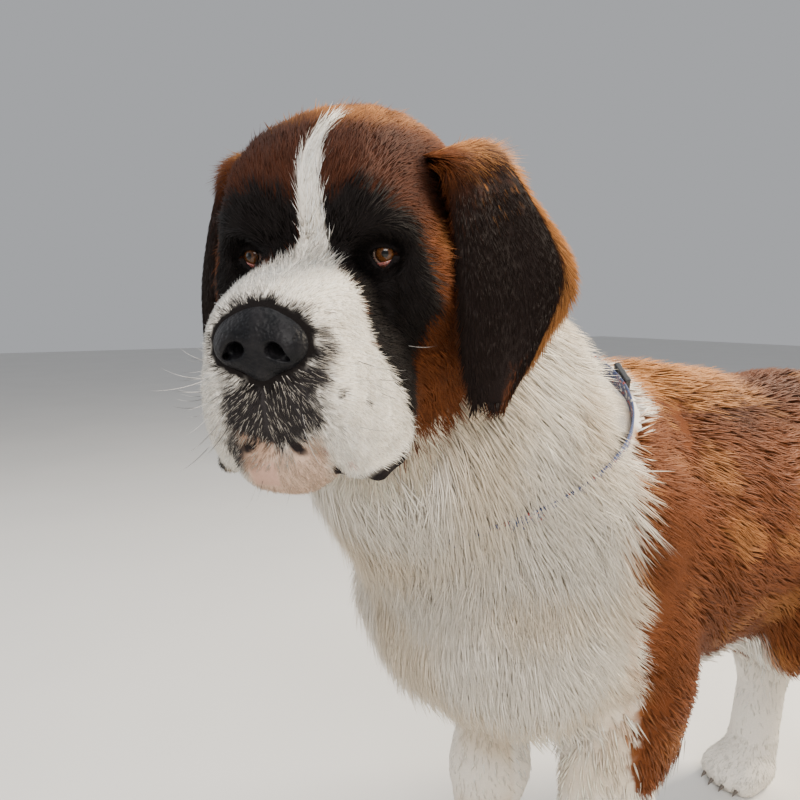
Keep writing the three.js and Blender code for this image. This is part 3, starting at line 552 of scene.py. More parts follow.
def makeFinishes():
    return {
        "hair": finish(
            "hair", hairColour, Roughness=0.6, Specular_IOR_Level=0.09, Normal=grain(900, 2, 0.25, 0.0006),
        ),
        "skin": finish(
            "underfur", hairColour, Roughness=0.9, Specular_IOR_Level=0.08, Normal=grain(700, 4, 0.6, 0.0012),
        ),
        "leather": finish(
            "nose_leather", mottled((0.003, 0.003, 0.004), (0.011, 0.010, 0.011), 90, 3, (0.35, 0.7)),
            Roughness=rough(0.40, 0.22, 240, 2), Coat_Weight=0.05, Coat_Roughness=0.25,
            Specular_IOR_Level=0.13, Normal=pebbled,
        ),
        "eye": finish(
            "eye", eyeColour, Roughness=0.08, Coat_Weight=0.35, Coat_Roughness=0.02, Specular_IOR_Level=0.2,
        ),
        "haw": finish(
            "haw", mottled((0.42, 0.15, 0.13), (0.26, 0.06, 0.05), 900, 3, (0.4, 0.65)),
            Roughness=0.25, Coat_Weight=0.6, Coat_Roughness=0.1, Subsurface_Weight=0.2,
            Normal=grain(1200, 2, 0.3, 0.0004),
        ),
        "horn": finish(
            "horn", mottled((0.035, 0.028, 0.024), (0.14, 0.11, 0.085), 160, 3, stretch=(1, 1, 6)),
            Roughness=rough(0.32, 0.2, 200, 2), Normal=grain(300, 2, 0.3, 0.0005, (1, 1, 8)),
        ),
        "whisker": finish(
            "whisker", mottled((0.55, 0.52, 0.48), (0.04, 0.035, 0.03), 60, 1, (0.4, 0.6)), Roughness=0.4,
        ),
        "webbing": finish("webbing", webbingColour, Roughness=0.75, Sheen_Weight=0.3, Normal=webbingBump),
        "plastic": finish(
            "slider_plastic", mottled((0.010, 0.010, 0.011), (0.022, 0.022, 0.024), 50, 3),
            Roughness=rough(0.36, 0.16, 300, 3), Normal=grain(1600, 2, 0.2, 0.0003),
        ),
        "floor": finish("floor", mottled((0.66, 0.65, 0.63), (0.72, 0.71, 0.69), 2, 2), Roughness=0.8),
    }


iris = {"pupil": 2.5, "edge": 6.7}


def eyeColour(t):
    ring = t.attribute("ring", "Fac")
    amber = mottled((0.045, 0.015, 0.005), (0.13, 0.05, 0.014), 1300, 3, (0.35, 0.7))(t)
    amber = t.mixColour(ring.between(iris["edge"] - 1.6, iris["edge"]), amber, (0.010, 0.005, 0.003, 1))
    beyondPupil = ring.between(iris["pupil"] - 0.3, iris["pupil"] + 0.3)
    amber = t.mixColour(beyondPupil, (0.002, 0.002, 0.002, 1), amber)
    white = mottled((0.34, 0.25, 0.20), (0.30, 0.10, 0.08), 700, 4, (0.5, 0.62))(t)
    return t.mixColour(ring.between(iris["edge"] - 0.1, iris["edge"] + 0.8), amber, white)


strap = {"fleck": (3.4, 2.6), "rib": (1.1, 1.5), "redFrom": 0.80, "whiteFrom": 0.91}


# How far along and across the strap a point lies, in millimetres
def weave(t):
    where = t.attribute("lay", "Vector")
    parts = t.add("ShaderNodeSeparateXYZ", None, {"Vector": where})
    return [Value(t, parts.socket.node.outputs[i]) for i in range(2)]


def webbingColour(t):
    along, across = weave(t)
    cell = t.add("ShaderNodeCombineXYZ", None, {
        "X": (along * (1 / strap["fleck"][0])).maths("FLOOR"),
        "Y": (across * (1 / strap["fleck"][1])).maths("FLOOR"),
    })
    pick = t.add("ShaderNodeTexWhiteNoise", None, {"Vector": cell})
    blue = mottled((0.012, 0.028, 0.105), (0.028, 0.060, 0.21), 900, 2)(t)
    flecked = t.mixColour(pick.maths("GREATER_THAN", strap["redFrom"]), blue, (0.32, 0.035, 0.03, 1))
    return t.mixColour(pick.maths("GREATER_THAN", strap["whiteFrom"]), flecked, (0.55, 0.55, 0.56, 1))


def webbingBump(t):
    along, across = weave(t)
    rib = [(way * (2 * math.pi / wide)).maths("SINE") for way, wide in zip((along, across), strap["rib"])]
    return t.bump(rib[0] * rib[1], 0.7, 0.0004)


finishes = makeFinishes()


# Meshes from arrays
def makeMesh(name, points, faces, colours=None, smooth=True):
    mesh = bpy.data.meshes.new(name)
    corners = faces.shape[1]
    mesh.vertices.add(len(points))
    mesh.vertices.foreach_set("co", points.astype(np.float32).ravel())
    mesh.loops.add(faces.size)
    mesh.loops.foreach_set("vertex_index", faces.astype(np.int32).ravel())
    mesh.polygons.add(len(faces))
    mesh.polygons.foreach_set("loop_start", np.arange(len(faces), dtype=np.int32) * corners)
    mesh.polygons.foreach_set("use_smooth", np.full(len(faces), smooth))
    mesh.update(calc_edges=True)
    if colours is not None:
        tint = mesh.color_attributes.new("tint", "FLOAT_COLOR", "POINT")
        rgba = np.concatenate([colours, np.ones((len(colours), 1))], axis=1)
        tint.data.foreach_set("color", rgba.astype(np.float32).ravel())
    return mesh


def makePiece(name, mesh, material, slot, *nodes):
    piece = bpy.data.objects.new(name, mesh)
    bpy.context.collection.objects.link(piece)
    mesh.materials.clear()
    mesh.materials.append(finishes[material])
    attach(piece, "root")
    if nodes:
        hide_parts(*nodes)


# A piece of the head, given in the head's own axes
def makeHeadPiece(name, points, quads, material, slot, *nodes, tint=None):
    makePiece(name, makeMesh(name, toFrame(fromHead(points)), quads, tint), material, slot, *nodes)


# The nose leather: broad, with round wings, comma nostrils and a groove down its middle
noseFlesh = carve(3, blend(10, [
    blob([0, -101, -41], [27, 17, 19]),
    blob([0, -98, -58], [15, 16, 13]),
    *bothSides(lambda s: [blob([s * 18, -103, -46], [12, 15, 12.5])]),
]), [
    limb([0, -122, -44], [0, -117, -70], 1.7, 1.7),
    *bothSides(lambda s: [
        blob([s * 12.5, -120, -46], [5.8, 15, 4.8], (0, s * 20, 0)),
        limb([s * 16, -118, -49], [s * 27, -104, -53], 2.4, 1.4),
    ]),
])


# Markings, as colours of the hair at its root and at its tip
palette = {
    "white": ((0.74, 0.675, 0.585), (0.83, 0.79, 0.72)),
    "cream": ((0.50, 0.38, 0.25), (0.78, 0.65, 0.48)),
    "rust": ((0.080, 0.021, 0.006), (0.185, 0.055, 0.015)),
    "gold": ((0.20, 0.068, 0.018), (0.60, 0.27, 0.085)),
    "mahogany": ((0.024, 0.008, 0.005), (0.078, 0.026, 0.013)),
    "black": ((0.004, 0.0035, 0.0035), (0.014, 0.010, 0.009)),
    "charcoal": ((0.012, 0.011, 0.012), (0.065, 0.056, 0.055)),
    "lip": ((0.010, 0.008, 0.008), (0.016, 0.012, 0.012)),
    "pink": ((0.36, 0.15, 0.12), (0.50, 0.25, 0.19)),
    "tan": ((0.46, 0.28, 0.19), (0.60, 0.42, 0.30)),
}
brightest = 0.86  # no hair is whiter
eyeAt = {
    "x": 47, "y": 1, "z": 0, "radius": 12, "turn": 14, "behind": 9, "hole": 17, "lidReach": 18.6,
    "corneaRadius": 8.4, "corneaAhead": 4.9, "corneaTo": 0.9,
}
patchParts = blend(6, [
    limb([37, -28, 20], [45, -26, 4], 20, 25),
    limb([50, -24, 2], [64, -28, -36], 26, 29),
    limb([64, -28, -36], [68, -28, -64], 26, 28),
    limb([68, -28, -64], [70, -27, -98], 28, 13),
])
muzzleParts = blend(8, [
    limb([0, -52, -8], [0, -104, -30], 24, 30),
    limb([10, -58, -14], [28, -70, -32], 22, 24),
    limb([34, -80, -55], [48, -70, -100], 26, 31),
    limb([46, -62, -104], [50, -40, -122], 34, 26),
    limb([0, -96, -60], [10, -90, -118], 40, 40),
    limb([18, -92, -40], [34, -90, -66], 26, 28),
])
underNose = blend(8, [
    blob([4, -110, -84], [32, 24, 25]),
    limb([28, -108, -66], [35, -98, -44], 10, 8),
    limb([0, -100, -22], [24, -98, -30], 6, 5),
    limb([-24, -98, -30], [0, -100, -22], 5, 6),
    limb([-8, -106, -98], [-24, -100, -114], 18, 12),
])
lipRoll = blend(3, [
    limb([42, -74, -128], [54, -60, -137], 4, 6),
    limb([54, -60, -137], [61, -42, -132], 6, 6),
    limb([61, -42, -132], [62, -28, -121], 6, 4),
])
# Where markings end: the chest's in the body's axes, the others in the head's
marks = {
    "chestHeights": [250, 310, 385, 460, 590, 650, 700, 730, 760],
    "chestEdge": [10, -16, -38, -42, -56, -40, -22, 45, 70],
    "blazeHeights": [0, 14, 55, 86, 100],
    "blazeHalf": [12, 8.2, 7.4, 4.6, 0.5],
    "blazeMiddle": 5.5,
    "rightShift": (11.0, -3.0),
    "spots": [
        ([46, -99, -75], 3.2), ([42, -98, -94], 2.4), ([54, -80, -84], 2.2), ([-38, -96, -90], 3),
        ([36, -92, -28], 2),
    ],
    "pinkSpots": [[31, -99, -110], [44, -86, -124]],
    "pinkRadius": 4,
    "mouth": (-7, -127),
}
wobble = [Waves(seed, size) for seed, size in ((1, 26), (2, 26), (3, 90), (4, 150), (5, 9))]


# How far a point lies above the line where the head's colours meet the neck's
def headness(local):
    x, y, z = local.T
    floor = np.where(y < 70, -116 - 0.22 * (y + 20), -136 + (y - 70) * 1.45)
    return z - floor


def plain(name, count):
    return [np.tile(np.array(c), (count, 1)) for c in palette[name]]


def layered(colour, name, mask):
    root, tip = (np.array(c) for c in palette[name])
    mask = clamp(mask)[:, None]
    colour[0] = mixed(colour[0], root, mask)
    colour[1] = mixed(colour[1], tip, mask)


def capped(colours):
    return [np.minimum(c, brightest) for c in colours]


def markings(points, fuzz=1.0):
    local = toHead(points)
    ragged, uneven, broad, broader, fine = (w(points) for w in wobble)
    x, y, z = points.T
    lx, ly, lz = local.T
    side = np.abs(lx)
    colour = plain("rust", len(points))
    # the mantle: dark along the back, lighter below, with golden stretches, and painted sunlight as gold
    # along the top of the back
    layered(colour, "mahogany", 0.75 * ease((z - 640 + 30 * broad) / 90) * ease((y - 60) / 120))
    layered(colour, "gold", 0.4 * ease((broad + 0.6 * broader - 0.45) * 1.6) * ease((y + 20) / 80))
    # painted sunlight: gold along the top of the back, from the withers back
    withers = 0.85 * ease((z - 700 + 22 * ragged) / 40) * ease((y - 10) / 50) * ease((330 - y) / 120)
    layered(colour, "gold", withers)
    # white chest, legs and the middle of the belly
    edge = np.interp(z, marks["chestHeights"], marks["chestEdge"])
    white = ease((edge - y - 7 * ragged - 3 * fine) / (9 * fuzz) + 0.5)
    white = np.maximum(white, ease((315 - z - 16 * ragged - 60 * ease((y - 300) / 100)) / 22))
    belly = ease((405 - z + 8 * uneven) / 26) * ease((96 - np.abs(x)) / 20) * ease((460 - y) / 40)
    white = np.maximum(white, belly)
    elbows = ease((90 + 10 * ragged - np.abs(x)) / 20 - 1) * ease((470 - z) / 30) * (y < 330)
    white = np.maximum(white, elbows)
    layered(colour, "white", white)
    border = ease(1 - np.abs(edge - y - 12) / 26) * ease((z - 330) / 60) * (y < 130)
    layered(colour, "gold", 0.6 * border * ease(0.5 + ragged))
    layered(colour, "cream", white * (0.25 + 0.5 * ease(0.4 + broader)) * (y < -20))
    thighs = 0.8 * ease((y - 500) / 50) * ease((520 - z + 20 * ragged) / 60) * ease((z - 250) / 60)
    layered(colour, "cream", thighs)
    # the head over the neck's white ring
    head = ease(headness(local) / 12 + 0.5 + 0.5 * ragged) * (ly < 230)
    layered(colour, "rust", head)
    brow = ease((lz + 8) / 14) * ease((20 - side) / 10) + ease((lz - 8) / 30) * ease((94 - side) / 22)
    layered(colour, "mahogany", head * 0.94 * clamp(brow) * ease((108 - lz - 0.35 * ly) / 34))
    cheek = head * 0.55 * ease((ly - 20) / 30) * ease((40 - lz) / 30) * ease(0.3 + ragged)
    layered(colour, "mahogany", cheek)
    # painted sunlight: gold over the top of the head
    sunlitCrown = ease((lz - 74 + 5 * ragged) / 26) * ease((ly + 16) / 30)
    layered(colour, "gold", head * 0.9 * sunlitCrown * (0.6 + 0.4 * ease(0.5 + uneven)))
    temple = head * 0.5 * ease((side - 74 - 3 * uneven) / 14) * ease((ly + 12) / 20) * ease((lz + 20) / 40)
    layered(colour, "gold", temple)
    nape = head * 0.8 * ease((ly - 96) / 40) * ease((80 - lz) / 30) * ease((lz + 50) / 40)
    layered(colour, "mahogany", nape)
    # dark patches round the eyes; the right one comes nearer to the middle of the brow
    shifted = mixed(*marks["rightShift"], clamp((side - 10) / 30)) * (lx < 0)
    mirrored = np.stack([side + shifted, ly, lz], axis=1)
    patch = (4 + 2.5 * ragged + 1.5 * fine - patchParts(mirrored)) / (7 * fuzz)
    layered(colour, "black", head * ease(patch + 0.5))
    # white muzzle and blaze
    muzzleFar = muzzleParts(mirrored)
    muzzleWhite = ease((1.5 * ragged + 1.5 * fine - muzzleFar) / (5 * fuzz) + 0.5)
    blazeHalf = np.interp(lz, marks["blazeHeights"], marks["blazeHalf"])
    blaze = ease((blazeHalf - np.abs(lx - marks["blazeMiddle"] - 1.2 * ragged)) / (2.4 * fuzz) + 0.5)
    blaze = blaze * ease((24 - ly) / 12) * (lz > -10)
    layered(colour, "white", np.maximum(muzzleWhite, blaze))
    # grey under the nose, black round it, spots, and the chin and lips
    layered(colour, "charcoal", ease((3 * fine + 2 * ragged - underNose(local)) / (9 * fuzz) + 0.5))
    byNose = (np.abs(ly + 100) < 40) & (lz > -90) & (lz < 0)
    rim = np.full(len(points), 50.0)
    rim[byNose] = noseFlesh(local[byNose].astype(np.float32))
    layered(colour, "black", ease((5.5 + fine - rim) / 3))
    for at, radius in marks["spots"]:
        far = np.linalg.norm(local - np.array(at), axis=1)
        layered(colour, "charcoal", ease((radius - far) / 1.5 + 0.5))
    aside = np.abs(lx - 6)
    chin = ease((-108 - lz + 0.5 * aside) / 6) * ease((30 - aside) / 8) * ease((-40 - ly) / 20)
    layered(colour, "tan", 0.85 * chin)
    for at in marks["pinkSpots"]:
        far = np.linalg.norm(local - np.array(at), axis=1)
        layered(colour, "pink", 0.8 * ease((marks["pinkRadius"] - far) / 3))
    lip = np.full(len(points), 50.0)
    low = (lz < -112) & (ly < 0) & (ly > -100)
    lip[low] = lipRoll(mirrored[low].astype(np.float32))
    layered(colour, "lip", ease((2.5 - lip) / 2))
    return colour


# The way the hair lies: each zone has a place, a reach and a direction
class Lie:
    def __init__(self, zones, mirror=False):
        self.zones, self.mirror = zones, mirror

    def __call__(self, points):
        total = np.zeros_like(points)
        flip = np.sign(points[:, :1]) if self.mirror else None
        where = onLeft(points) if self.mirror else points
        for at, reach, way in self.zones:
            far = np.linalg.norm(where - np.array(at), axis=1) / reach
            total += (np.exp(-2 * far * far) + 1e-7)[:, None] * np.array(way)
        if self.mirror:
            total[:, :1] *= flip
        return total


bodyLie = Lie([
    ([110, -300, 800], 190, (-0.35, 0.6, -0.72)),
    ([0, -230, 560], 200, (0, 0.12, -1)),
    ([0, 20, 760], 170, (0, 1, -0.25)),
    ([0, 120, 480], 240, (0, 0.72, -0.7)),
    ([0, 330, 640], 240, (0, 0.96, -0.3)),
    ([0, 540, 480], 190, (0, 0.3, -0.95)),
    ([101, -20, 250], 150, (0, 0.25, -1)),
    ([-101, -20, 250], 150, (0, 0.25, -1)),
    ([92, 560, 200], 150, (0, 0.2, -1)),
    ([-92, 560, 200], 150, (0, 0.2, -1)),
])
headLie = Lie([
    ([0, -95, -20], 36, (0.3, 1, 0.25)),
    ([0, -50, 0], 42, (0.25, 1, 0.35)),
    ([32, -85, -55], 38, (0.55, 0.75, -0.4)),
    ([45, -60, -100], 42, (0.15, 0.8, -0.75)),
    ([10, -108, -92], 26, (0.4, 0.1, -1)),
    ([8, -28, 40], 40, (0.25, 0.35, 1)),
    ([30, 5, 75], 50, (0.25, 0.9, 0.5)),
    ([0, 70, 95], 60, (0.1, 1, 0)),
    ([72, 20, 20], 46, (0.1, 0.9, -0.4)),
    ([72, 5, -45], 46, (0.05, 0.75, -0.65)),
    ([60, 60, -100], 60, (0, 0.75, -0.7)),
    ([20, 0, -150], 50, (0, 0.8, -0.5)),
    ([0, 130, 20], 70, (0, 0.75, -0.7)),
], mirror=True)


def lieInBody(points):
    local = toHead(points)
    onHead = ease((headness(local) + 20) / 50) * ease((200 - local[:, 1]) / 60)
    headWay = unit(headLie(local)) @ headSpin.T
    return mixed(unit(bodyLie(points)), headWay, onHead[:, None])


# Tufts: thin tapered blades with a ridge, that follow the lie and rise towards their tips
coatPieces = {}


def growTufts(root, volume, lie, size, levels, turn, clump=0.0, cell=12.0, seed=1):
    along = {1: (0, 1), 2: (0, 0.5, 1), 3: (0, 0.34, 0.7, 1)}[levels]
    width = {1: (1, 0), 2: (0.8, 1, 0), 3: (0.7, 1, 0.75, 0)}[levels]
    at = root.copy()
    centre = (np.floor(root / cell) + 0.5) * cell
    centre = centre + np.random.default_rng(seed).normal(0, cell * 0.16, 3)
    gather = centre - root
    rings = []
    for i, t in enumerate(along):
        normal = volume.normal(at)
        way = lie(at)
        way = unit(flattened(way, normal))
        side = np.cross(way, normal)
        way = np.cos(turn)[:, None] * way + np.sin(turn)[:, None] * side
        side = np.cross(way, normal)
        if i:
            step = (t - along[i - 1]) * size["long"]
            pull = clump * (t ** 1.5 - along[i - 1] ** 1.5)
            toCentre = flattened(flattened(gather, way), normal)
            at = at + way * step[:, None] + toCentre * pull
            normal = volume.normal(at)
        depth = mixed(size["low"], size["high"], t ** 0.8)
        at = at + normal * (depth - volume.depth(at))[:, None]
        half = width[i] * size["wide"] / 2
        rings.append((at, side, normal, half))
    corners = []
    for at, side, normal, half in rings[:-1]:
        reach = half[:, None]
        corners += [at + side * reach, at + normal * reach * size["ridge"], at - side * reach]
    corners.append(rings[-1][0])
    return np.stack(corners, axis=1)


def tuftPattern(levels):
    faces = [(0, 1, 2)]
    for level in range(levels - 1):
        for c in range(3):
            a, b = 3 * level + c, 3 * level + (c + 1) % 3
            faces += [(a, a + 3, b), (b, a + 3, b + 3)]
    last = 3 * (levels - 1)
    faces += [(last + c, 3 * levels, last + (c + 1) % 3) for c in range(3)]
    return np.array(faces)


def keepTufts(name, points, levels, colours, roots, unwrap):
    coatPieces.setdefault(name, []).append((points, levels, colours, roots, unwrap))


# Keeps the hair within a few millimetres of the solids' own box, given here in metres
def withinBox(points, proud=0.008):
    return np.clip(points, np.array(cadBox[0]) - [proud, proud, 0], np.array(cadBox[1]) + proud)


# Joins the tufts of each name into pieces of at most so many triangles. On the baked map each tuft
# has a small patch of its own, at the place of its root
def makeCoat(slots, most=190000, patch=0.003):
    for name, batches in coatPieces.items():
        pieces, used = [[]], 0
        for points, levels, colours, roots, unwrap in batches:
            pattern = tuftPattern(levels)
            start = 0
            while start < len(points):
                room = (most - used) // len(pattern)
                if room <= 0:
                    pieces.append([])
                    used = 0
                    continue
                end = min(len(points), start + room)
                part = slice(start, end)
                tints = [c[part] for c in colours]
                pieces[-1].append((points[part], levels, tints, roots[part], unwrap))
                used += (end - start) * len(pattern)
                start = end
        for number, piece in enumerate(p for p in pieces if p):
            allPoints, allFaces, allColours, allSpots, offset = [], [], [], [], 0
            for points, levels, (rootTint, tipTint), roots, unwrap in piece:
                pattern = tuftPattern(levels)
                size = points.shape[1]
                t = np.repeat(np.arange(levels + 1) / levels, 3)[:size]
                tint = mixed(rootTint[:, None], tipTint[:, None], t[None, :, None] ** 0.8)
                allPoints.append(points.reshape(-1, 3))
                allColours.append(tint.reshape(-1, 3))
                faces = pattern[None] + (offset + size * np.arange(len(points)))[:, None, None]
                allFaces.append(faces.reshape(-1, 3))
                across = np.tile([0, 0.5, 1], levels + 1)[:size]
                inPatch = np.stack([across, 0.92 * t + 0.08 * (across == 0.5)], axis=1) * patch
                spots = unwrap(roots)[:, None] * (1 - patch) + inPatch[None]
                allSpots.append(spots.reshape(-1, 2))
                offset += size * len(points)
            faces = np.concatenate(allFaces)
            label = f"coat_{name}" + (f"_{number + 1}" if len(pieces) > 1 else "")
            points = withinBox(toFrame(np.concatenate(allPoints)))
            mesh = makeMesh(label, points, faces, np.concatenate(allColours))
            uv = mesh.uv_layers.new(name="OFBake")
            uv.data.foreach_set("uv", np.concatenate(allSpots)[faces.ravel()].astype(np.float32).ravel())
            makePiece(label, mesh, "hair", slots[name])
            print(label, len(faces), "triangles")


# Unwraps of the skin's own shape: round an axis, and along it
def wrapAlong(centre, axis, low, high):
    across, up = [(1, 2), (0, 2), (0, 1)][axis]

    def unwrap(p):
        angle = np.arctan2(p[:, up] - centre[up], p[:, across] - centre[across]) / (2 * math.pi) + 0.5
        return np.clip(np.stack([angle, (p[:, axis] - low) / (high - low)], axis=1), 0, 1)

    return unwrap


def trianglesOf(quads):
    return np.concatenate([quads[:, [0, 1, 2]], quads[:, [0, 2, 3]]])


# Random points on a mesh, as dense as the weight says
def scatter(points, quads, weight, count, draw):
    faces = trianglesOf(quads)
    corner = points[faces]
    area = np.linalg.norm(np.cross(corner[:, 1] - corner[:, 0], corner[:, 2] - corner[:, 0]), axis=1)
    share = area * np.maximum(weight(corner.mean(axis=1)), 0)
    pick = draw.choice(len(faces), count, p=share / share.sum())
    a, b = draw.random(count), draw.random(count)
    over = a + b > 1
    a, b = np.where(over, 1 - a, a), np.where(over, 1 - b, b)
    first, second, third = (corner[pick][:, i] for i in range(3))
    return first + a[:, None] * (second - first) + b[:, None] * (third - first)


# The face, in the head's own axes, with eye sockets, lids, lips and chin
face = {
    "low": (-122, -136, -176), "high": (122, 76, 152), "step": 2.0, "back": 66, "under": -168,
    "fur": 5.2, "chinFur": 2.2, "lipWidth": 2.3, "far": 50, "nostrils": ([0, -104, -47], [24, 22, 16]),
}


def eyeFrame(s):
    turn = np.array(Matrix.Rotation(math.radians(s * eyeAt["turn"]), 3, "Z"), dtype=np.float32)
    return np.array([s * eyeAt["x"], eyeAt["y"], eyeAt["z"]], np.float32), turn


def socketBall(s, radius):
    return blob([s * eyeAt["x"], eyeAt["y"] - eyeAt["behind"], eyeAt["z"]], [radius] * 3)


lids = {"inner": 10.8, "up": 4.6, "down": 9.8, "dip": -2.4, "thick": 2.1, "tilt": -0.12}


def lidOpening(s, wider=0.0):
    at, turn = eyeFrame(s)

    def field(p):
        q = (p - at) @ turn
        x, z = q[:, 0] * s, q[:, 2] - lids["tilt"] * q[:, 0] * s
        half = lids["inner"] + wider
        sag = np.abs((x - lids["dip"]) / (half + lids["dip"]))
        upper = (lids["up"] + wider) * (1 - clamp(np.abs(x / half)) ** 2.2) - 0.6
        lower = (lids["down"] + wider) * (1 - clamp(sag) ** 1.5) + 0.6
        return np.maximum(np.maximum(z - upper, -lower - z) * 0.85, q[:, 1] - 1)

    return field


def faceField(p):
    base = flesh(fromHead(p)) - face["fur"]
    for s in (1, -1):
        at, turn = eyeFrame(s)
        base = -soft(-base, blob(at + np.array([s * 3, -21, -1.5]), [17, 13, 13])(p), 9)
    base = soft(base, lipRoll(onLeft(p)), 9)
    mouth = soft(base, jawFlesh(p) - face["chinFur"], 2.5)
    side = np.abs(p[:, 0])
    folds = 0.8 * np.sin((p[:, 2] - 0.8 * side + 0.6 * p[:, 1]) / 3.4)
    brow = np.exp(-((p[:, 2] - 42) / 16) ** 2 - ((side - 30) / 24) ** 2 - ((p[:, 1] + 20) / 26) ** 2)
    return mouth + folds * brow * 0.9


faceVolume = Volume(faceField, face["low"], face["high"], face["step"])
furVolume = copy.copy(faceVolume)  # for the hair, without the holes that are cut in the face below
print("face field")


# The rim of each upper lip, found as the lowest line along the flews
def lipLine(s):
    spots = []
    for y in np.arange(-104, 14, 7.0):
        across = np.arange(6, 64, 1.5)
        up = np.arange(-150, -84, 1.0)
        grid = np.stack(np.meshgrid(s * across, [y], up, indexing="ij"), -1).reshape(-1, 3)
        inside = (headFlesh(grid.astype(np.float32)) < 5).reshape(len(across), len(up))
        lowest = np.where(inside.any(axis=1), up[inside.argmax(axis=1)], 0)
        best = int(np.argmin(lowest))
        spots.append((s * (across[best] - 2.5), y, lowest[best] + 0.8))
    spots = np.array(spots)
    return np.array([np.convolve(np.pad(c, 1, "edge"), [0.25, 0.5, 0.25], "valid") for c in spots.T]).T


lipLines = {s: lipLine(s) for s in (1, -1)}


def lipRim(p):
    total = np.full(len(p), face["far"], np.float32)
    for line in lipLines.values():
        for a, b in zip(line, line[1:]):
            total = np.minimum(total, limb(a, b, face["lipWidth"], face["lipWidth"])(p))
    return total


def faceRegion(p):
    return np.maximum(p[:, 1] - face["back"], face["under"] - p[:, 2])


gridPoints = faceVolume.points
nearLip = (gridPoints[:, 2] < -80) & (gridPoints[:, 1] < 30)
lipDepth = np.full(len(gridPoints), face["far"], np.float32)
lipDepth[nearLip] = evaluated(lipRim, gridPoints[nearLip])
faceSkin = soft(faceVolume.values.ravel(), lipDepth, 2.0)
cleft = limb([0, -120, -66], [0, -112, -98], 1.6, 1.6)
for hole in (cleft, *(socketBall(s, eyeAt["hole"]) for s in (1, -1))):
    faceSkin = -soft(-faceSkin, hole(gridPoints), 1.5)
nearNose = np.linalg.norm(gridPoints - np.array(face["nostrils"][0]), axis=1) < face["far"]
nostrilRoom = blob(*face["nostrils"])(gridPoints[nearNose])
faceSkin[nearNose] = -soft(-faceSkin[nearNose], nostrilRoom, 1.0)
faceVolume.values = faceSkin.reshape(faceVolume.values.shape)
facePoints, faceQuads = faceVolume.mesh(np.maximum(faceSkin, faceRegion(gridPoints)))
print("face", len(faceQuads), "faces")

bodyVolume = Volume(flesh, (-250, -490, 40), (300, 770, 1000), 7.0)
bodyGrid = bodyVolume.points
bodySkin = bodyVolume.values.ravel() - underDepth(bodyGrid)
region = faceRegion(toHead(bodyGrid))
bodyPoints, bodyQuads = bodyVolume.mesh(np.maximum(bodySkin, -region - 8))
print("body", len(bodyQuads), "faces")


# Lids in their own finer grid, over a hole left for them in the face
def lidVolume(s):
    at, turn = eyeFrame(s)
    ball = blob(at, [eyeAt["radius"] + lids["thick"]] * 3)
    clear = blob(at, [eyeAt["radius"] + 0.15] * 3)
    around = socketBall(s, eyeAt["lidReach"])

    def field(p):
        skin = soft(faceField(p), ball(p), 5)
        skin = -soft(-skin, lidOpening(s)(p), 1.2)
        return -soft(-skin, clear(p), 0.4)

    low, high = at - np.array([21, 31, 21]), at + np.array([21, 11, 21])
    volume = Volume(field, low, high, 0.85)
    return volume, volume.mesh(np.maximum(volume.values.ravel(), around(volume.points)))


lidShells = {s: lidVolume(s) for s in (1, -1)}


# The haw: a thin shell on the eye, along its lower lid
def hawMesh(s):
    at, turn = eyeFrame(s)

    def field(p):
        q = (p - at) @ turn
        shell = np.abs(np.linalg.norm(q, axis=1) - eyeAt["radius"] - 0.2) - 0.8
        x = q[:, 0] * s
        edge = -5.4 + 0.26 * x + 0.012 * x * x - np.where(x < -6, 0.5 * (x + 6), 0)
        return np.maximum(np.maximum(shell, q[:, 2] - edge), q[:, 1] + 2)

    return Volume(field, at - 16, at + 16, 0.7).mesh()


def joinedParts(parts):
    points, quads, offset = [], [], 0
    for p, q in parts:
        points.append(p)
        quads.append(q + offset)
        offset += len(p)
    return np.concatenate(points), np.concatenate(quads)


# Paws: a rounded foot with arched toes, on a finer grid, flat where it stands
paws = {
    "fore": {
        "x": body["forelegX"], "y": -62, "width": 100, "length": 124, "height": 72, "top": 96,
        "leg": forelegOf, "claw": 27,
    },
    "hind": {
        "x": body["hindlegX"], "y": 532, "width": 90, "length": 114, "height": 66, "top": 88,
        "leg": hindlegOf, "claw": 24,
    },
}


def toesOf(s, paw):
    r, long, high = paw["width"] / 8 + 3, paw["length"] * 0.22, paw["height"] * 0.34
    for i in range(4):
        across = (i - 1.5) / 4
        x = s * paw["x"] + across * (paw["width"] - 8)
        y = paw["y"] - paw["length"] * 0.38 + abs(across) * 34
        yield np.array([x, y, high]), (r, long, high)


def pawVolume(s, paw):
    toes = [blob(at, radii) for at, radii in toesOf(s, paw)]
    radii = [paw["width"] / 2, paw["length"] * 0.46, paw["height"] * 0.56]
    foot = blob([s * paw["x"], paw["y"], paw["height"] * 0.42], radii)
    clefts = []
    for (a, _), (b, _) in itertools.pairwise(toesOf(s, paw)):
        middle = (a + b) / 2
        clefts.append(limb(middle + [0, -20, 6], middle + [0, 26, 26], 1.2, 1.2))
    whole = carve(5, blend(14, [blend(9, [foot, *toes]), paw["leg"](s)]), clefts)
    low = (s * paw["x"] - 68, paw["y"] - 96, -6)
    high = (s * paw["x"] + 68, paw["y"] + 100, paw["top"] + 12)
    return Volume(whole, low, high, 3.0)


shortFur = 5  # over the flesh of the paws and the tail
standing = 0.8  # the soles' height over the floor
pawVolumes = {(kind, s): pawVolume(s, paw) for kind, paw in paws.items() for s in (1, -1)}


def pawMesh(volume, top):
    z = volume.points[:, 2]
    skin = volume.values.ravel() - shortFur
    return volume.mesh(np.maximum(np.maximum(skin, standing - z), z - top))


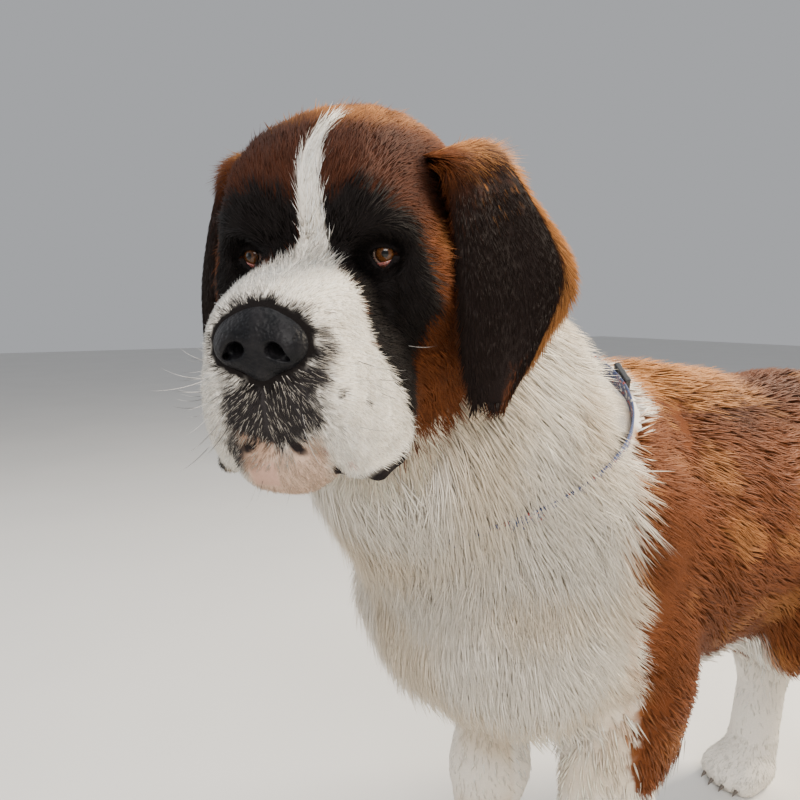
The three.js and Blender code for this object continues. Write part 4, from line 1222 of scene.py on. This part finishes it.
# Centripetal curve through points, as the solids' curves are
def curveThrough(points, share):
    points = np.array(points, float)
    points = np.vstack([2 * points[0] - points[1], points, 2 * points[-1] - points[-2]])
    spans = len(points) - 3
    place = np.clip(np.asarray(share) * spans, 0, spans - 1e-9)
    base = place.astype(int)
    t = (place - base)[:, None]
    p = [points[base + i] for i in range(4)]
    d = [np.maximum(np.linalg.norm(p[i + 1] - p[i], axis=1, keepdims=True), 1e-4) ** 0.5 for i in range(3)]
    # the cubic's slopes at both ends of a span, for its points' uneven spacing
    m1 = ((p[1] - p[0]) / d[0] - (p[2] - p[0]) / (d[0] + d[1]) + (p[2] - p[1]) / d[1]) * d[1]
    m2 = ((p[2] - p[1]) / d[1] - (p[3] - p[1]) / (d[1] + d[2]) + (p[3] - p[2]) / d[2]) * d[1]
    square, cube = 3 * (p[2] - p[1]) - 2 * m1 - m2, 2 * (p[1] - p[2]) + m1 + m2
    return p[1] + m1 * t + square * t ** 2 + cube * t ** 3


tail = {
    "points": [[0, 528, 672], [0, 610, 622], [3, 672, 490], [8, 686, 360], [14, 708, 262]],
    "rootR": 36, "tipR": 10, "coat": 36, "steps": 8,
}
tailShares = np.arange(tail["steps"] + 1) / tail["steps"]
tailPoints = curveThrough(tail["points"], tailShares)
tailRadii = mixed(tail["rootR"], tail["tipR"], tailShares ** 1.2)
tailPairs = itertools.pairwise(zip(tailPoints, tailRadii))
tailFlesh = blend(20, [limb(a, b, ra, rb) for (a, ra), (b, rb) in tailPairs])
tailVolume = Volume(tailFlesh, (-90, 490, 190), (110, 790, 740), 5.0)
tailSkin = tailVolume.mesh(tailVolume.values.ravel() - shortFur)

skinParts = [(fromHead(facePoints), faceQuads), (bodyPoints, bodyQuads), tailSkin]
for s in (1, -1):
    lidPoints, lidQuads = lidShells[s][1]
    skinParts.append((fromHead(lidPoints), lidQuads))
for (kind, s), volume in pawVolumes.items():
    skinParts.append(pawMesh(volume, paws[kind]["top"]))


def lipMask(local):
    rim = np.zeros(len(local))
    near = (local[:, 2] < -78) & (local[:, 1] < 26) & (np.abs(local[:, 0]) < 70)
    rim[near] = ease((4.0 - lipRim(local[near].astype(np.float32))) / 2.5)
    return rim


def skinTint(points):
    root, tip = markings(points)
    local = toHead(points)
    tint = mixed(root, tip, 0.35)
    middle, height = marks["mouth"]
    inMouth = ease((12 - np.abs(local[:, 0] - middle)) / 4) * ease((11 - np.abs(local[:, 2] - height)) / 4)
    inMouth = inMouth * ease((-60 - local[:, 1]) / 10)
    tint = mixed(tint, np.array(palette["pink"][0]), 0.4 * inMouth[:, None])
    tint = mixed(tint, np.array(palette["lip"][1]), lipMask(local)[:, None])
    for s in (1, -1):
        at = fromHead(eyeFrame(s)[0][None])[0]
        near = ease((25 - np.linalg.norm(points - at, axis=1)) / 3)
        tint = mixed(tint, np.array(palette["lip"][0]), near[:, None])
    return tint


skinPoints, skinQuads = joinedParts(skinParts)
legNodes = itertools.product(("foreleg", "forepaw", "thigh", "hindleg", "hindpaw"), ("left", "right"))
fleshNodes = ["head", "lower_jaw", "neck", "torso", "tail", *("_".join(pair) for pair in legNodes)]
skinMesh = makeMesh("skin", toFrame(skinPoints), skinQuads, skinTint(skinPoints))
makePiece("skin", skinMesh, "skin", "coat_white", *fleshNodes)
print("skin", len(skinQuads), "faces")

# Nose leather
nosePoints, noseQuads = Volume(noseFlesh, (-38, -124, -78), (38, -80, -14), 0.9).mesh()
makeHeadPiece("nose", nosePoints, noseQuads, "leather", "nose_leather", "nose")


# Eyes: a ball with a raised cornea
def eyePiece(s, name):
    rows, turns = 40, 48
    at, turn = eyeFrame(s)
    angle = np.linspace(0.004, math.pi - 0.004, rows)
    ballX, ballY = eyeAt["radius"] * np.sin(angle), -eyeAt["radius"] * np.cos(angle)
    bulge = -np.sqrt(np.maximum(eyeAt["corneaRadius"] ** 2 - ballX ** 2, 0)) - eyeAt["corneaAhead"]
    ballY = np.where((angle < eyeAt["corneaTo"]) & (bulge < ballY), bulge, ballY)
    around = np.linspace(0, 2 * math.pi, turns, endpoint=False)
    points = np.stack([
        ballX[:, None] * np.cos(around), np.repeat(ballY[:, None], turns, 1), ballX[:, None] * np.sin(around),
    ], -1).reshape(-1, 3)
    quads = []
    for i in range(rows - 1):
        for j in range(turns):
            k = (j + 1) % turns
            quads.append((i * turns + j, i * turns + k, (i + 1) * turns + k, (i + 1) * turns + j))
    mesh = makeMesh(name, toFrame(fromHead(points @ turn.T + at)), np.array(quads))
    ring = np.where(points[:, 1] < 0, np.hypot(points[:, 0], points[:, 2]), 20)
    mesh.attributes.new("ring", "FLOAT", "POINT").data.foreach_set("value", ring.astype(np.float32))
    makePiece(name, mesh, "eye", "eye", name)


for s, side in ((1, "left"), (-1, "right")):
    eyePiece(s, f"eye_{side}")
    makeHeadPiece(f"haw_{side}", *hawMesh(s), "haw", "lip_skin")

# Ears: a flap between two edges, curved over its fold
ear = {
    "front": [[60, 42, 62], [80, 40, 58], [90, 28, 20], [95, 20, -30], [98, 20, -80], [104, 26, -112]],
    "back": [
        [60, 106, 62], [102, 112, 64], [138, 130, 26], [166, 138, -28], [148, 100, -76], [120, 52, -116],
    ],
    "bow": 13, "thick": 5.0, "rows": 64, "across": 44,
    "tufts": 20000, "atEdge": 0.16, "onOuter": 0.62,
}


def earSheet(s):
    v = np.linspace(0, 1, ear["rows"] + 1)
    u = np.linspace(0, 1, ear["across"] + 1)[None, :, None]
    back = [(x if s > 0 else mixed(84, x, 0.8), y, z) for x, y, z in ear["back"]]
    a, b = curveThrough(ear["front"], v), curveThrough(back, v)
    downA, downB = unit(np.gradient(a, axis=0)), unit(np.gradient(b, axis=0))
    down = mixed(downA[:, None], downB[:, None], u)
    out = -unit(np.cross((b - a)[:, None], down))
    early = np.minimum(1, 3 * v)[:, None, None]
    rise = ear["bow"] * np.sin(math.pi * u) * early
    rise = rise + 3.2 * np.sin(2 * math.pi * (1.7 * u + 0.1)) * np.sin(math.pi * v)[:, None, None]
    middle = mixed(a[:, None], b[:, None], u) + out * rise
    wall = ear["thick"] / 2 * (0.35 + 0.65 * np.sin(math.pi * u) ** 0.5) * mixed(1.4, 0.7, v)[:, None, None]
    flip = np.array([s, 1, 1])
    return middle * flip, out * flip, wall, down * flip


def earColour(u, v, outer, draw):
    count = len(u)
    wave = draw.normal(0, 0.06, count)
    colour = plain("mahogany", count)
    layered(colour, "rust", ease((0.34 - v + wave) / 0.2))
    layered(colour, "black", 0.9 * ease((v - 0.2 + 0.14 * u + wave) / 0.2) * ease((0.92 - u + wave) / 0.14))
    # painted rim light: gold along the ear's back edge
    rimLitBackEdge = 0.9 * ease((u - 0.84 + wave) / 0.1) * ease((v - 0.05) / 0.2) * ease((0.96 - v) / 0.2)
    layered(colour, "gold", rimLitBackEdge)
    # gold over the top of the flap: partly golden hair, partly painted sunlight
    layered(colour, "gold", 0.85 * ease((0.24 - v + 1.6 * wave) / 0.16) * ease((u - 0.05) / 0.25))
    layered(colour, "rust", 0.7 * ease((v - 0.9 + wave) / 0.08) * ease((u - 0.35) / 0.2))
    layered(colour, "rust", np.where(outer, 0, 0.6) * np.ones(count))
    return colour


# Each ear takes half of the baked map
def earWrap(p):
    return np.stack([p[:, 0] / 2 + (p[:, 2] < 0) / 2, p[:, 1]], 1)


def makeEar(s, name):
    middle, out, wall, down = earSheet(s)
    rows, across = ear["rows"] + 1, ear["across"] + 1
    points = np.concatenate([(middle + out * wall).reshape(-1, 3), (middle - out * wall).reshape(-1, 3)])
    at = np.arange(2 * rows * across).reshape(2, rows, across)
    top, low = at
    quads = np.concatenate([np.stack(corners, -1).reshape(-1, 4) for corners in (
        (top[:-1, :-1], top[1:, :-1], top[1:, 1:], top[:-1, 1:]),
        (low[:-1, :-1], low[:-1, 1:], low[1:, 1:], low[1:, :-1]),
        (top[1:, 0], top[:-1, 0], low[:-1, 0], low[1:, 0]),
        (top[:-1, -1], top[1:, -1], low[1:, -1], low[:-1, -1]),
        (top[0, :-1], top[0, 1:], low[0, 1:], low[0, :-1]),
        (top[-1, 1:], top[-1, :-1], low[-1, :-1], low[-1, 1:]),
    )])
    if s < 0:
        quads = quads[:, ::-1]
    draw = np.random.default_rng(31 + s)
    vs, us = np.meshgrid(np.linspace(0, 1, rows), np.linspace(0, 1, across), indexing="ij")
    both = [np.tile(c.ravel(), 2) for c in (us, vs)]
    outer = np.arange(len(points)) < rows * across
    tint = mixed(*earColour(*both, outer, draw), 0.25)
    makeHeadPiece(name, points, quads, "skin", "coat_dark", name, tint=tint)
    # short hair that runs down the flap, with a fringe beyond its edges
    count = ear["tufts"]
    du = np.gradient(middle, axis=1)
    area = np.linalg.norm(np.cross(np.gradient(middle, axis=0), du), axis=-1)[:-1, :-1]
    area[: rows // 4] *= 1.7
    pick = draw.choice(area.size, count, p=(area / area.sum()).ravel())
    i, j = np.divmod(pick, across - 1)
    rim = draw.random(count) < ear["atEdge"]
    j = np.where(rim, np.where(draw.random(count) < 0.72, across - 2, 0), j)
    face = np.where(draw.random(count) < ear["onOuter"], 1.0, -1.0)
    fu, fv = draw.random(count), draw.random(count)

    def read(grid):
        grid = np.broadcast_to(grid, (rows, across, grid.shape[-1]))
        a, b = (mixed(grid[row, j], grid[row, j + 1], fu[:, None]) for row in (i, i + 1))
        return mixed(a, b, fv[:, None])

    u, v = (j + fu) / (across - 1), (i + fv) / (rows - 1)
    outward, tangent, sideways = read(out) * face[:, None], unit(read(down)), unit(read(du))
    root = read(middle) + outward * read(np.broadcast_to(wall, (rows, across, 1))) * 0.8
    fringe = ease((u - 0.86) / 0.14) - 0.7 * ease((0.1 - u) / 0.1)
    tipward = ease((v - 0.88) / 0.12)
    shag = ease((0.34 - v) / 0.2) + 0.6 * ease((u - 0.8) / 0.15)
    spread = 0.55 * fringe + draw.normal(0, 0.12, count)
    way = tangent * (1 - 0.35 * np.abs(fringe)[:, None]) + sideways * spread[:, None]
    way = unit(way + sideways * (0.3 * shag * draw.normal(0, 1, count))[:, None])
    way = unit(way + outward * (0.10 + (0.10 + 0.16 * shag) * draw.random(count))[:, None])
    long = (9 + 4 * draw.random(count)) * (1 + 0.5 * np.abs(fringe) + 0.25 * tipward + 0.9 * shag)
    side = unit(np.cross(way, outward))
    half = (0.55 + 0.35 * draw.random(count))[:, None]
    base = root - outward * 0.6
    corners = [base + side * half, base + outward * half, base - side * half, base + way * long[:, None]]
    colours = earColour(u, v, face > 0, draw)
    vary = draw.uniform(0.75, 1.3, (count, 1))
    spots = np.stack([np.where(face > 0, u, 2 - u) / 2, v], axis=1)
    tufts = fromHead(np.stack(corners, axis=1).astype(np.float32))
    spots = np.column_stack([spots, np.full(count, s)])
    keepTufts("ears", tufts, 1, [c * vary for c in colours], spots, earWrap)


makeEar(1, "ear_left")
makeEar(-1, "ear_right")
print("ears")

# Numbers of tufts, and the coat of the face
fur = {
    "face": 70000, "lids": 2600, "headBack": 18000, "ruff": 50000, "trunk": 26000, "legs": 11000,
    "paws": 1800, "tail": 4000,
}
draw = np.random.default_rng(5)
flow = [Waves(seed, size) for seed, size in ((21, 60), (22, 24), (23, 110))]


def furSize(local):
    x, y, z = local.T
    side = np.abs(x)
    onMuzzle = ease((-38 - y) / 24)
    long = mixed(13.0, 6.0, onMuzzle)
    long = long + 8 * ease((z - 60) / 40) + 7 * ease((side - 64) / 20) * ease((y + 10) / 40)
    long = long + 14 * ease((y - 25) / 40) * ease((-70 - z) / 40) + 6 * ease((-120 - z) / 20) * (y > -40)
    nearEye = ease((34 - np.linalg.norm(np.stack([side - 47, y + 8, z], 1), axis=1)) / 16)
    return long * (1 - 0.45 * nearEye)


def bareFace(local):
    bare = noseFlesh(local.astype(np.float32)) < 1.2
    bare |= lipMask(local) > 0.5
    for s in (1, -1):
        near = np.linalg.norm(local - eyeFrame(s)[0], axis=1) < 24
        bare |= (lidOpening(s, 1.6)(local.astype(np.float32)) < 0.4) & near
    middle, height = marks["mouth"]
    bare |= (np.abs(local[:, 0] - middle) < 9) & (np.abs(local[:, 2] - height) < 7) & (local[:, 1] < -84)
    return bare | (lipRoll(local.astype(np.float32)) < 2.0)


def faceTufts(root, volume, short=1.0, levels=1):
    count = len(root)
    body = fromHead(root)
    long = furSize(root) * draw.uniform(0.75, 1.25, count) * short
    stand = 0.15 + 0.07 * flow[1](body)
    stray = 1 + 1.3 * (draw.random(count) < 0.04)
    stand = stand * (1 - 0.5 * ease((root[:, 2] - 84) / 20))
    size = {
        "long": long,
        "wide": mixed(0.62, 1.1, clamp((long - 5) / 14)) * draw.uniform(0.75, 1.25, count),
        "low": np.full(count, -0.6),
        "high": 0.9 + 3.0 * (levels > 1) + long * clamp(stand) * draw.uniform(0.6, 1.4, count) * stray,
        "ridge": 0.8,
    }
    turn = 0.20 * flow[0](body) + 0.16 * flow[1](body) + draw.normal(0, 0.16, count)
    points = growTufts(root.astype(np.float32), volume, headLie, size, levels, turn)
    colours = markings(fromHead(root + draw.normal(0, 1.0, (count, 3))), fuzz=0.6)
    vary = draw.uniform(0.74, 1.26, (count, 1))
    fleck = (underNose(root.astype(np.float32)) < 8) & (draw.random(count) < 0.2)
    colours = [np.where(fleck[:, None], np.array(palette["white"][0]) * 0.6, c) * vary for c in colours]
    if short < 1:
        colours = [mixed(c, np.array(palette["black"][0]), 0.8) for c in colours]
    keepTufts("head", fromHead(points), levels, capped(colours), root, wrapAlong((0, 20, -20), 2, -180, 150))


# Denser where the fur is short, with bent tufts on the lower cheeks and short dark ones on the lids
def coatFace():
    def weight(c):
        return np.minimum(furSize(c), 15) ** -0.9 * (faceRegion(c) < 4)

    root = scatter(facePoints, faceQuads, weight, fur["face"], draw)
    root = root[~bareFace(root)]
    low = (root[:, 1] > 8) & (root[:, 2] < -70)
    faceTufts(root[~low], furVolume)
    faceTufts(root[low], furVolume, 1.0, 2)
    for s in (1, -1):
        volume, (points, quads) = lidShells[s]
        at, turn = eyeFrame(s)
        near = scatter(points, quads, lambda c: (c[:, 1] < -2) * 1.0, fur["lids"], draw)
        near = near[lidOpening(s, 1.2)(near.astype(np.float32)) > 0]
        faceTufts(near[np.linalg.norm(near - at, axis=1) > eyeAt["radius"] + 0.8], volume, 0.55)


coatFace()
print("face coat")


# Where no tuft grows or lies, so that the slider and the strap by it stay in sight
clearing = {"rootAlong": 12, "rootNear": 100, "bandAlong": 2.5, "along": 12, "near": 84, "slider": 24}


def byStrapAndSlider(points):
    return np.abs((points - band["at"]) @ band["axis"]), np.linalg.norm(points - sliderMiddle, axis=1)


def overBand(points):
    along, near = byStrapAndSlider(points)
    return (along < clearing["rootAlong"]) & (near < clearing["rootNear"]) | (along < clearing["bandAlong"])


# True where a tuft would hide the slider or the strap's bare stretch
def overSlider(tufts):
    hidden = np.zeros(len(tufts), bool)
    middles = [tufts[:, i] for i in range(0, tufts.shape[1], 3)]
    for a, b in zip(middles, middles[1:]):
        for t in (0, 0.25, 0.5, 0.75, 1):
            along, near = byStrapAndSlider(mixed(a, b, t))
            hidden |= (near < clearing["near"]) & (along < clearing["along"]) | (near < clearing["slider"])
    return hidden


def coatBody(name, count, levels, weight, shape, wrap, clump, cell, ridge=0.35, tone=0.24, rise=0.45):
    root = scatter(bodyPoints, bodyQuads, weight, count, draw).astype(np.float32)
    root = root[~overBand(root)]
    count = len(root)
    deep = coatDepth(root)
    long, wide = shape(deep)
    long = long * draw.uniform(0.7, 1.3, count)
    size = {
        "long": long,
        "wide": wide * draw.uniform(0.7, 1.3, count),
        "low": underDepth(root) - coat["lift"],
        "high": np.minimum(deep, underDepth(root) + rise * long) * draw.uniform(0.72, 1.06, count),
        "ridge": ridge,
    }
    byStrap = ease((140 - np.linalg.norm(root - sliderMiddle, axis=1)) / 60)
    size["high"] = mixed(size["high"], np.minimum(size["high"], coreDepth(root) - 3.5), byStrap)
    size["long"] = long * (1 - 0.45 * byStrap)
    turn = 0.22 * flow[2](root) + 0.2 * flow[0](root) + 0.12 * flow[1](root) + draw.normal(0, 0.12, count)
    points = growTufts(root, bodyVolume, lieInBody, size, levels, turn, clump, cell)
    open = ~overSlider(points)
    points, root = points[open], root[open]
    count = len(root)
    shown = mixed(root, points[:, -1], 0.55)
    colours = markings((shown + draw.normal(0, 3.0, (count, 3))).astype(np.float32))
    vary = draw.uniform(1 - tone, 1 + tone, (count, 1))
    keepTufts(name, points, levels, capped(c * vary for c in colours), root, wrap)


def headSide(points):
    local = toHead(points)
    return ease((headness(local) + 14) / 20) * (local[:, 1] < 215) * (faceRegion(local) > 2)


def ruffSide(points):
    front = ease((40 - points[:, 1]) / 60) * ease((points[:, 2] - 440) / 40)
    return (1 - headSide(points)) * front * (faceRegion(toHead(points)) > 2)


def trunkSide(points):
    return (1 - ease((40 - points[:, 1]) / 60)) * ease((points[:, 2] - 330) / 20)


def legSide(points):
    z = points[:, 2]
    return np.maximum(ease((440 - z) / 30), 0) * (z > 76) * (0.3 + 0.7 * ease((z - 200) / 60) + 0.4)


# Lengths and widths of tufts, from where the coat is short to where it is deep
def between(lengths, widths, shallow, more):
    def shape(deep):
        share = clamp((deep - shallow) / more)
        return mixed(*lengths, share), mixed(*widths, share)

    return shape


# Denser on the side that the photograph shows
def towardsCamera(points):
    return 0.42 + 0.58 * ease((points[:, 0] + 60) / 120)


bodyWrap = wrapAlong((0, 0, 590), 1, -500, 780)
legWrap = wrapAlong((0, 0, 300), 1, -200, 700)
coatBody(
    "head", fur["headBack"], 1, headSide, between((17, 32), (1.3, 1.3), 7, 20), bodyWrap,
    clump=0.2, cell=9, ridge=0.6,
)
coatBody(
    "ruff", fur["ruff"], 2, lambda c: ruffSide(c) * towardsCamera(c),
    between((24, 62), (1.2, 1.7), 9, 26), bodyWrap, clump=0.46, cell=17, tone=0.09, rise=0.34,
)
coatBody(
    "trunk", fur["trunk"], 2, lambda c: trunkSide(c) * towardsCamera(c),
    between((30, 74), (2.0, 3.0), 10, 26), bodyWrap, clump=0.4, cell=22, tone=0.15, rise=0.3,
)
coatBody("legs", fur["legs"], 2, legSide, between((17, 52), (2.0, 2.8), 8, 20), legWrap, clump=0.3, cell=14)
print("body coat")


def coatPaws():
    for (kind, s), volume in pawVolumes.items():
        paw = paws[kind]
        points, quads = pawMesh(volume, paw["top"])
        top = paw["top"] - 2
        root = scatter(points, quads, lambda c: (c[:, 2] > 3) * (c[:, 2] < top) * 1.0, fur["paws"], draw)
        count = len(root)
        size = {
            "long": draw.uniform(8, 15, count) * (1 - 0.3 * ease((20 - root[:, 2]) / 10)),
            "wide": draw.uniform(1.2, 2.0, count),
            "low": np.full(count, 4.0),
            "high": draw.uniform(6.0, 8.4, count),
            "ridge": 0.6,
        }

        def lie(p):
            front = ease((paw["y"] + 10 - p[:, 1]) / 60)[:, None]
            return np.array([0, 0.1, -1]) * (1 - 0.4 * front) + np.array([0, -0.9, -0.2]) * front

        turn = draw.normal(0, 0.3, count)
        tufts = growTufts(root.astype(np.float32), volume, lie, size, 1, turn)
        tufts[:, :, 2] = np.maximum(tufts[:, :, 2], 0.6)
        colours = capped(c * draw.uniform(0.8, 1.2, (count, 1)) for c in markings(root.astype(np.float32)))
        keepTufts("legs", tufts, 1, colours, root, wrapAlong((0, 0, 40), 1, -200, 700))


def coatTail():
    root = scatter(*tailSkin, lambda c: (c[:, 1] > 560) * 1.0, fur["tail"], draw).astype(np.float32)
    count = len(root)
    z = root[:, 2]
    deep = mixed(7, tail["coat"], ease((690 - z) / 140))
    dense = np.linspace(0, 1, 200)
    line = curveThrough(tail["points"], dense)
    ways = unit(np.gradient(line, axis=0))

    def lie(p):
        near = np.argmin(((p[:, None] - line[None, ::5]) ** 2).sum(-1), axis=1)
        return ways[::5][near]

    size = {
        "long": mixed(34, 92, ease((690 - z) / 140)) * draw.uniform(0.7, 1.15, count),
        "wide": draw.uniform(2.4, 3.8, count),
        "low": np.full(count, 3.5),
        "high": deep * draw.uniform(0.35, 0.92, count),
        "ridge": 0.35,
    }
    size["long"] = np.minimum(size["long"], np.maximum(z - 168, 30))
    turn = 0.2 * flow[0](root) + draw.normal(0, 0.12, count)
    points = growTufts(root, tailVolume, lie, size, 3, turn, 0.4, 18)
    colours = plain("rust", count)
    layered(colours, "gold", 0.6 * ease(flow[0](root)))
    layered(colours, "white", ease((340 - z + 20 * flow[1](root)) / 50))
    vary = draw.uniform(0.75, 1.25, (count, 1))
    colours = capped(c * vary for c in colours)
    keepTufts("tail", points, 3, colours, root, wrapAlong((0, 660, 0), 2, 190, 740))


coatPaws()
coatTail()
makeCoat({
    "head": "coat_dark", "ears": "coat_dark", "ruff": "coat_white", "trunk": "coat_rust",
    "legs": "coat_white", "tail": "coat_rust",
})


# Collar: a woven band and the slider that closes it
def makeBand():
    steps, half = band["stations"], band["width"] / 2
    section = [
        (-half, 0.4), (0.5 - half, 0), (half - 0.5, 0), (half, 0.4), (half, 1.6), (half - 0.6, 2.1),
        (0, 2.25), (0.6 - half, 2.1), (-half, 1.6),
    ]
    angles = np.arange(steps) * 2 * math.pi / steps
    coarse = bandRadii(np.arange(band["steps"]) * bandStep)
    coarse = (np.roll(coarse, 1) + coarse + np.roll(coarse, -1)) / 3
    radii = np.interp(angles, np.arange(band["steps"] + 1) * bandStep, np.append(coarse, coarse[0]))
    radii = sum(np.roll(radii, k) for k in range(-4, 5)) / 9 + band["proud"]
    ways = bandWays(angles)
    points, lay = [], []
    strides = np.linalg.norm(np.diff(ways * radii[:, None], axis=0), axis=1)
    length = np.concatenate([[0], np.cumsum(strides)])
    for across, rise in section:
        points.append(band["at"] + ways * (radii[:, None] + rise) + band["axis"] * across)
        lay.append(np.stack([length, np.full(steps, across), np.full(steps, rise)], axis=1))
    points, lay = np.stack(points, 1).reshape(-1, 3), np.stack(lay, 1).reshape(-1, 3)
    quads, n = [], len(section)
    for i in range(steps):
        for j in range(n):
            a, b = i * n + j, i * n + (j + 1) % n
            c, d = (a + n) % (steps * n), (b + n) % (steps * n)
            quads.append((a, c, d, b))
    mesh = makeMesh("collar_band", toFrame(points), np.array(quads))
    kept = mesh.attributes.new("lay", "FLOAT_VECTOR", "POINT")
    kept.data.foreach_set("vector", lay.astype(np.float32).ravel())
    makePiece("collar_band", mesh, "webbing", "webbing", "collar_band")


def slab(at, size, round=1.0):
    at, half = np.array(at, np.float32), np.array(size, np.float32) / 2 - round

    def field(p):
        q = np.abs(p - at) - half
        return np.linalg.norm(np.maximum(q, 0), axis=1) + np.minimum(q.max(axis=1), 0) - round

    return field


def makeSlider():
    wide, long, thick = band["slider"]
    bars = ((3 - long / 2, 6), (0, 5), (long / 2 - 3, 6))
    parts = [slab((0, y, 0), (thick * 0.75, size, wide + 6)) for y, size in bars]
    parts += [slab((0, 0, s * (wide + 2.5) / 2), (thick * 0.74, long, 4)) for s in (1, -1)]
    points, quads = Volume(blend(1.2, parts), (-6, -18, -15), (6, 18, 15), 0.6).mesh()
    axes = np.array((bandZero, bandSide, band["axis"]))
    mesh = makeMesh("collar_slider", toFrame(points @ axes + sliderMiddle), quads)
    makePiece("collar_slider", mesh, "plastic", "slider_plastic", "collar_slider")


makeBand()
makeSlider()


# Whiskers and claws: bent tapered cones set on points by Geometry Nodes
coneInputs = {"Geometry": "Geometry", "Bend": "Float", "Sides": "Int", "Thickness": "Float"}


def coneTree(name, material):
    group = bpy.data.node_groups.new(name, "GeometryNodeTree")
    for label, kind in coneInputs.items():
        group.interface.new_socket(label, in_out="INPUT", socket_type="NodeSocket" + kind)
    group.interface.new_socket("Geometry", in_out="OUTPUT", socket_type="NodeSocketGeometry")
    tree = Tree(group)
    source = group.nodes.new("NodeGroupInput")
    points, bend, sides, thickness = [Value(tree, source.outputs[label]) for label in coneInputs]
    end = tree.add("ShaderNodeCombineXYZ", None, {"X": bend, "Z": 1.0})
    line = tree.add("GeometryNodeCurveQuadraticBezier", None, {
        "Resolution": 7, "Start": (0, 0, 0), "Middle": (0, 0, 0.55), "End": end,
    })
    share = tree.add("GeometryNodeSplineParameter")
    circle = tree.add("GeometryNodeCurvePrimitiveCircle", None, {"Resolution": sides, "Radius": 1.0})
    cone = tree.add("GeometryNodeCurveToMesh", None, {
        "Curve": line, "Profile Curve": circle, "Fill Caps": True, "Scale": (1.02 - share) ** 0.7 * thickness,
    })
    aim = tree.add("GeometryNodeInputNamedAttribute", {"data_type": "FLOAT_VECTOR"}, {"Name": "aim"})
    size = tree.add("GeometryNodeInputNamedAttribute", {"data_type": "FLOAT"}, {"Name": "size"})
    placed = tree.add("GeometryNodeInstanceOnPoints", None, {
        "Points": points, "Instance": cone, "Rotation": aim, "Scale": size,
    })
    placed = tree.add("GeometryNodeRealizeInstances", None, {"Geometry": placed})
    placed = tree.add("GeometryNodeSetShadeSmooth", None, {"Geometry": placed})
    placed = tree.add("GeometryNodeSetMaterial", None, {"Geometry": placed, "Material": finishes[material]})
    output = group.nodes.new("NodeGroupOutput")
    group.links.new(placed.socket, output.inputs[0])
    return group


# The thickness and the bend are shares of a cone's length, which is given in millimetres
def makeCones(name, roots, ways, longs, cone, material, slot):
    mesh = bpy.data.meshes.new(name + "_points")
    mesh.from_pydata([tuple(p) for p in toFrame(roots)], [], [])
    aims = [tuple(Vector(way).to_track_quat("Z", "X").to_euler()) for way in ways]
    for label, kind, field, values in (
        ("aim", "FLOAT_VECTOR", "vector", np.array(aims)), ("size", "FLOAT", "value", longs * mm),
    ):
        mesh.attributes.new(label, kind, "POINT").data.foreach_set(field, values.astype(np.float32).ravel())
    carrier = bpy.data.objects.new(name + "_points", mesh)
    bpy.context.collection.objects.link(carrier)
    modifier = carrier.modifiers.new(name, "NODES")
    modifier.node_group = coneTree(name, material)
    for item in modifier.node_group.interface.items_tree:
        if item.in_out == "INPUT" and item.name in cone:
            modifier[item.identifier] = cone[item.name]
    made = bpy.data.meshes.new_from_object(carrier.evaluated_get(bpy.context.evaluated_depsgraph_get()))
    bpy.data.objects.remove(carrier)
    made.name = name
    makePiece(name, made, material, slot)


whiskers = {
    "rows": 4, "inRow": 6, "pad": (24, -104, -62), "apart": (5.5, 8, -11), "long": (14, 36), "proud": 0.002,
    "more": [(10, -104, -134), (18, -92, -138), (74, -8, -66)],
    "cone": {"Bend": 0.22, "Sides": 5, "Thickness": 0.0085},
}


def makeWhiskers():
    draw = np.random.default_rng(77)
    seeds = []
    x, y, z = whiskers["pad"]
    dx, dy, dz = whiskers["apart"]
    for s in (1, -1):
        for row in range(whiskers["rows"]):
            for i in range(whiskers["inRow"]):
                out = s * (x + dx * i + draw.normal(0, 1))
                seeds.append((out, y + dy * i, z + dz * row + draw.normal(0, 1.5)))
        seeds += [(s * out, *rest) for out, *rest in whiskers["more"]]
    root = np.array(seeds, np.float32)
    for settle in range(6):
        root = root - faceVolume.normal(root) * faceVolume.depth(root)[:, None]
    normal = faceVolume.normal(root)
    way = unit(flattened(unit(headLie(root)), normal)) * 0.75 + normal * 0.75
    way = unit(way + draw.normal(0, 0.16, root.shape)) @ headSpin.T
    longs = draw.uniform(*whiskers["long"], len(root))
    # none reaches far beyond the solids' own box on the left side
    room = (cadBox[1][0] + whiskers["proud"] - toFrame(fromHead(root))[:, 0]) / mm
    longs = np.minimum(longs, np.maximum(room / np.maximum(way[:, 0], 0.2), 5))
    makeCones("whiskers", fromHead(root), way, longs, whiskers["cone"], "whisker", "coat_white")


claws = {"way": (0, -1, -0.42), "cone": {"Bend": -0.12, "Sides": 10, "Thickness": 0.21}}


def makeClaws():
    roots, longs = [], []
    for paw in paws.values():
        for s in (1, -1):
            for at, (r, long, high) in toesOf(s, paw):
                roots.append(at + [0, -long * 0.72, -high * 0.18])
                longs.append(paw["claw"])
    ways = [unit(np.array(claws["way"]))] * len(roots)
    makeCones("claws", np.array(roots), ways, np.array(longs, float), claws["cone"], "horn", "nose_leather")


makeWhiskers()
makeClaws()
ground = {"half": 14.0, "squares": 40, "under": 0.0004}


def makeFloor():
    axis = np.linspace(-ground["half"], ground["half"], ground["squares"] + 1)
    x, y = np.meshgrid(axis, axis, indexing="ij")
    points = np.stack([x, y, np.full_like(x, -ground["under"])], -1).reshape(-1, 3)
    at = np.arange(x.size).reshape(x.shape)
    quads = np.stack([at[:-1, :-1], at[1:, :-1], at[1:, 1:], at[:-1, 1:]], -1).reshape(-1, 4)
    mesh = makeMesh("floor", points, quads)
    mesh.materials.append(finishes["floor"])
    floor = bpy.data.objects.new("floor", mesh)
    bpy.context.collection.objects.link(floor)


makeFloor()
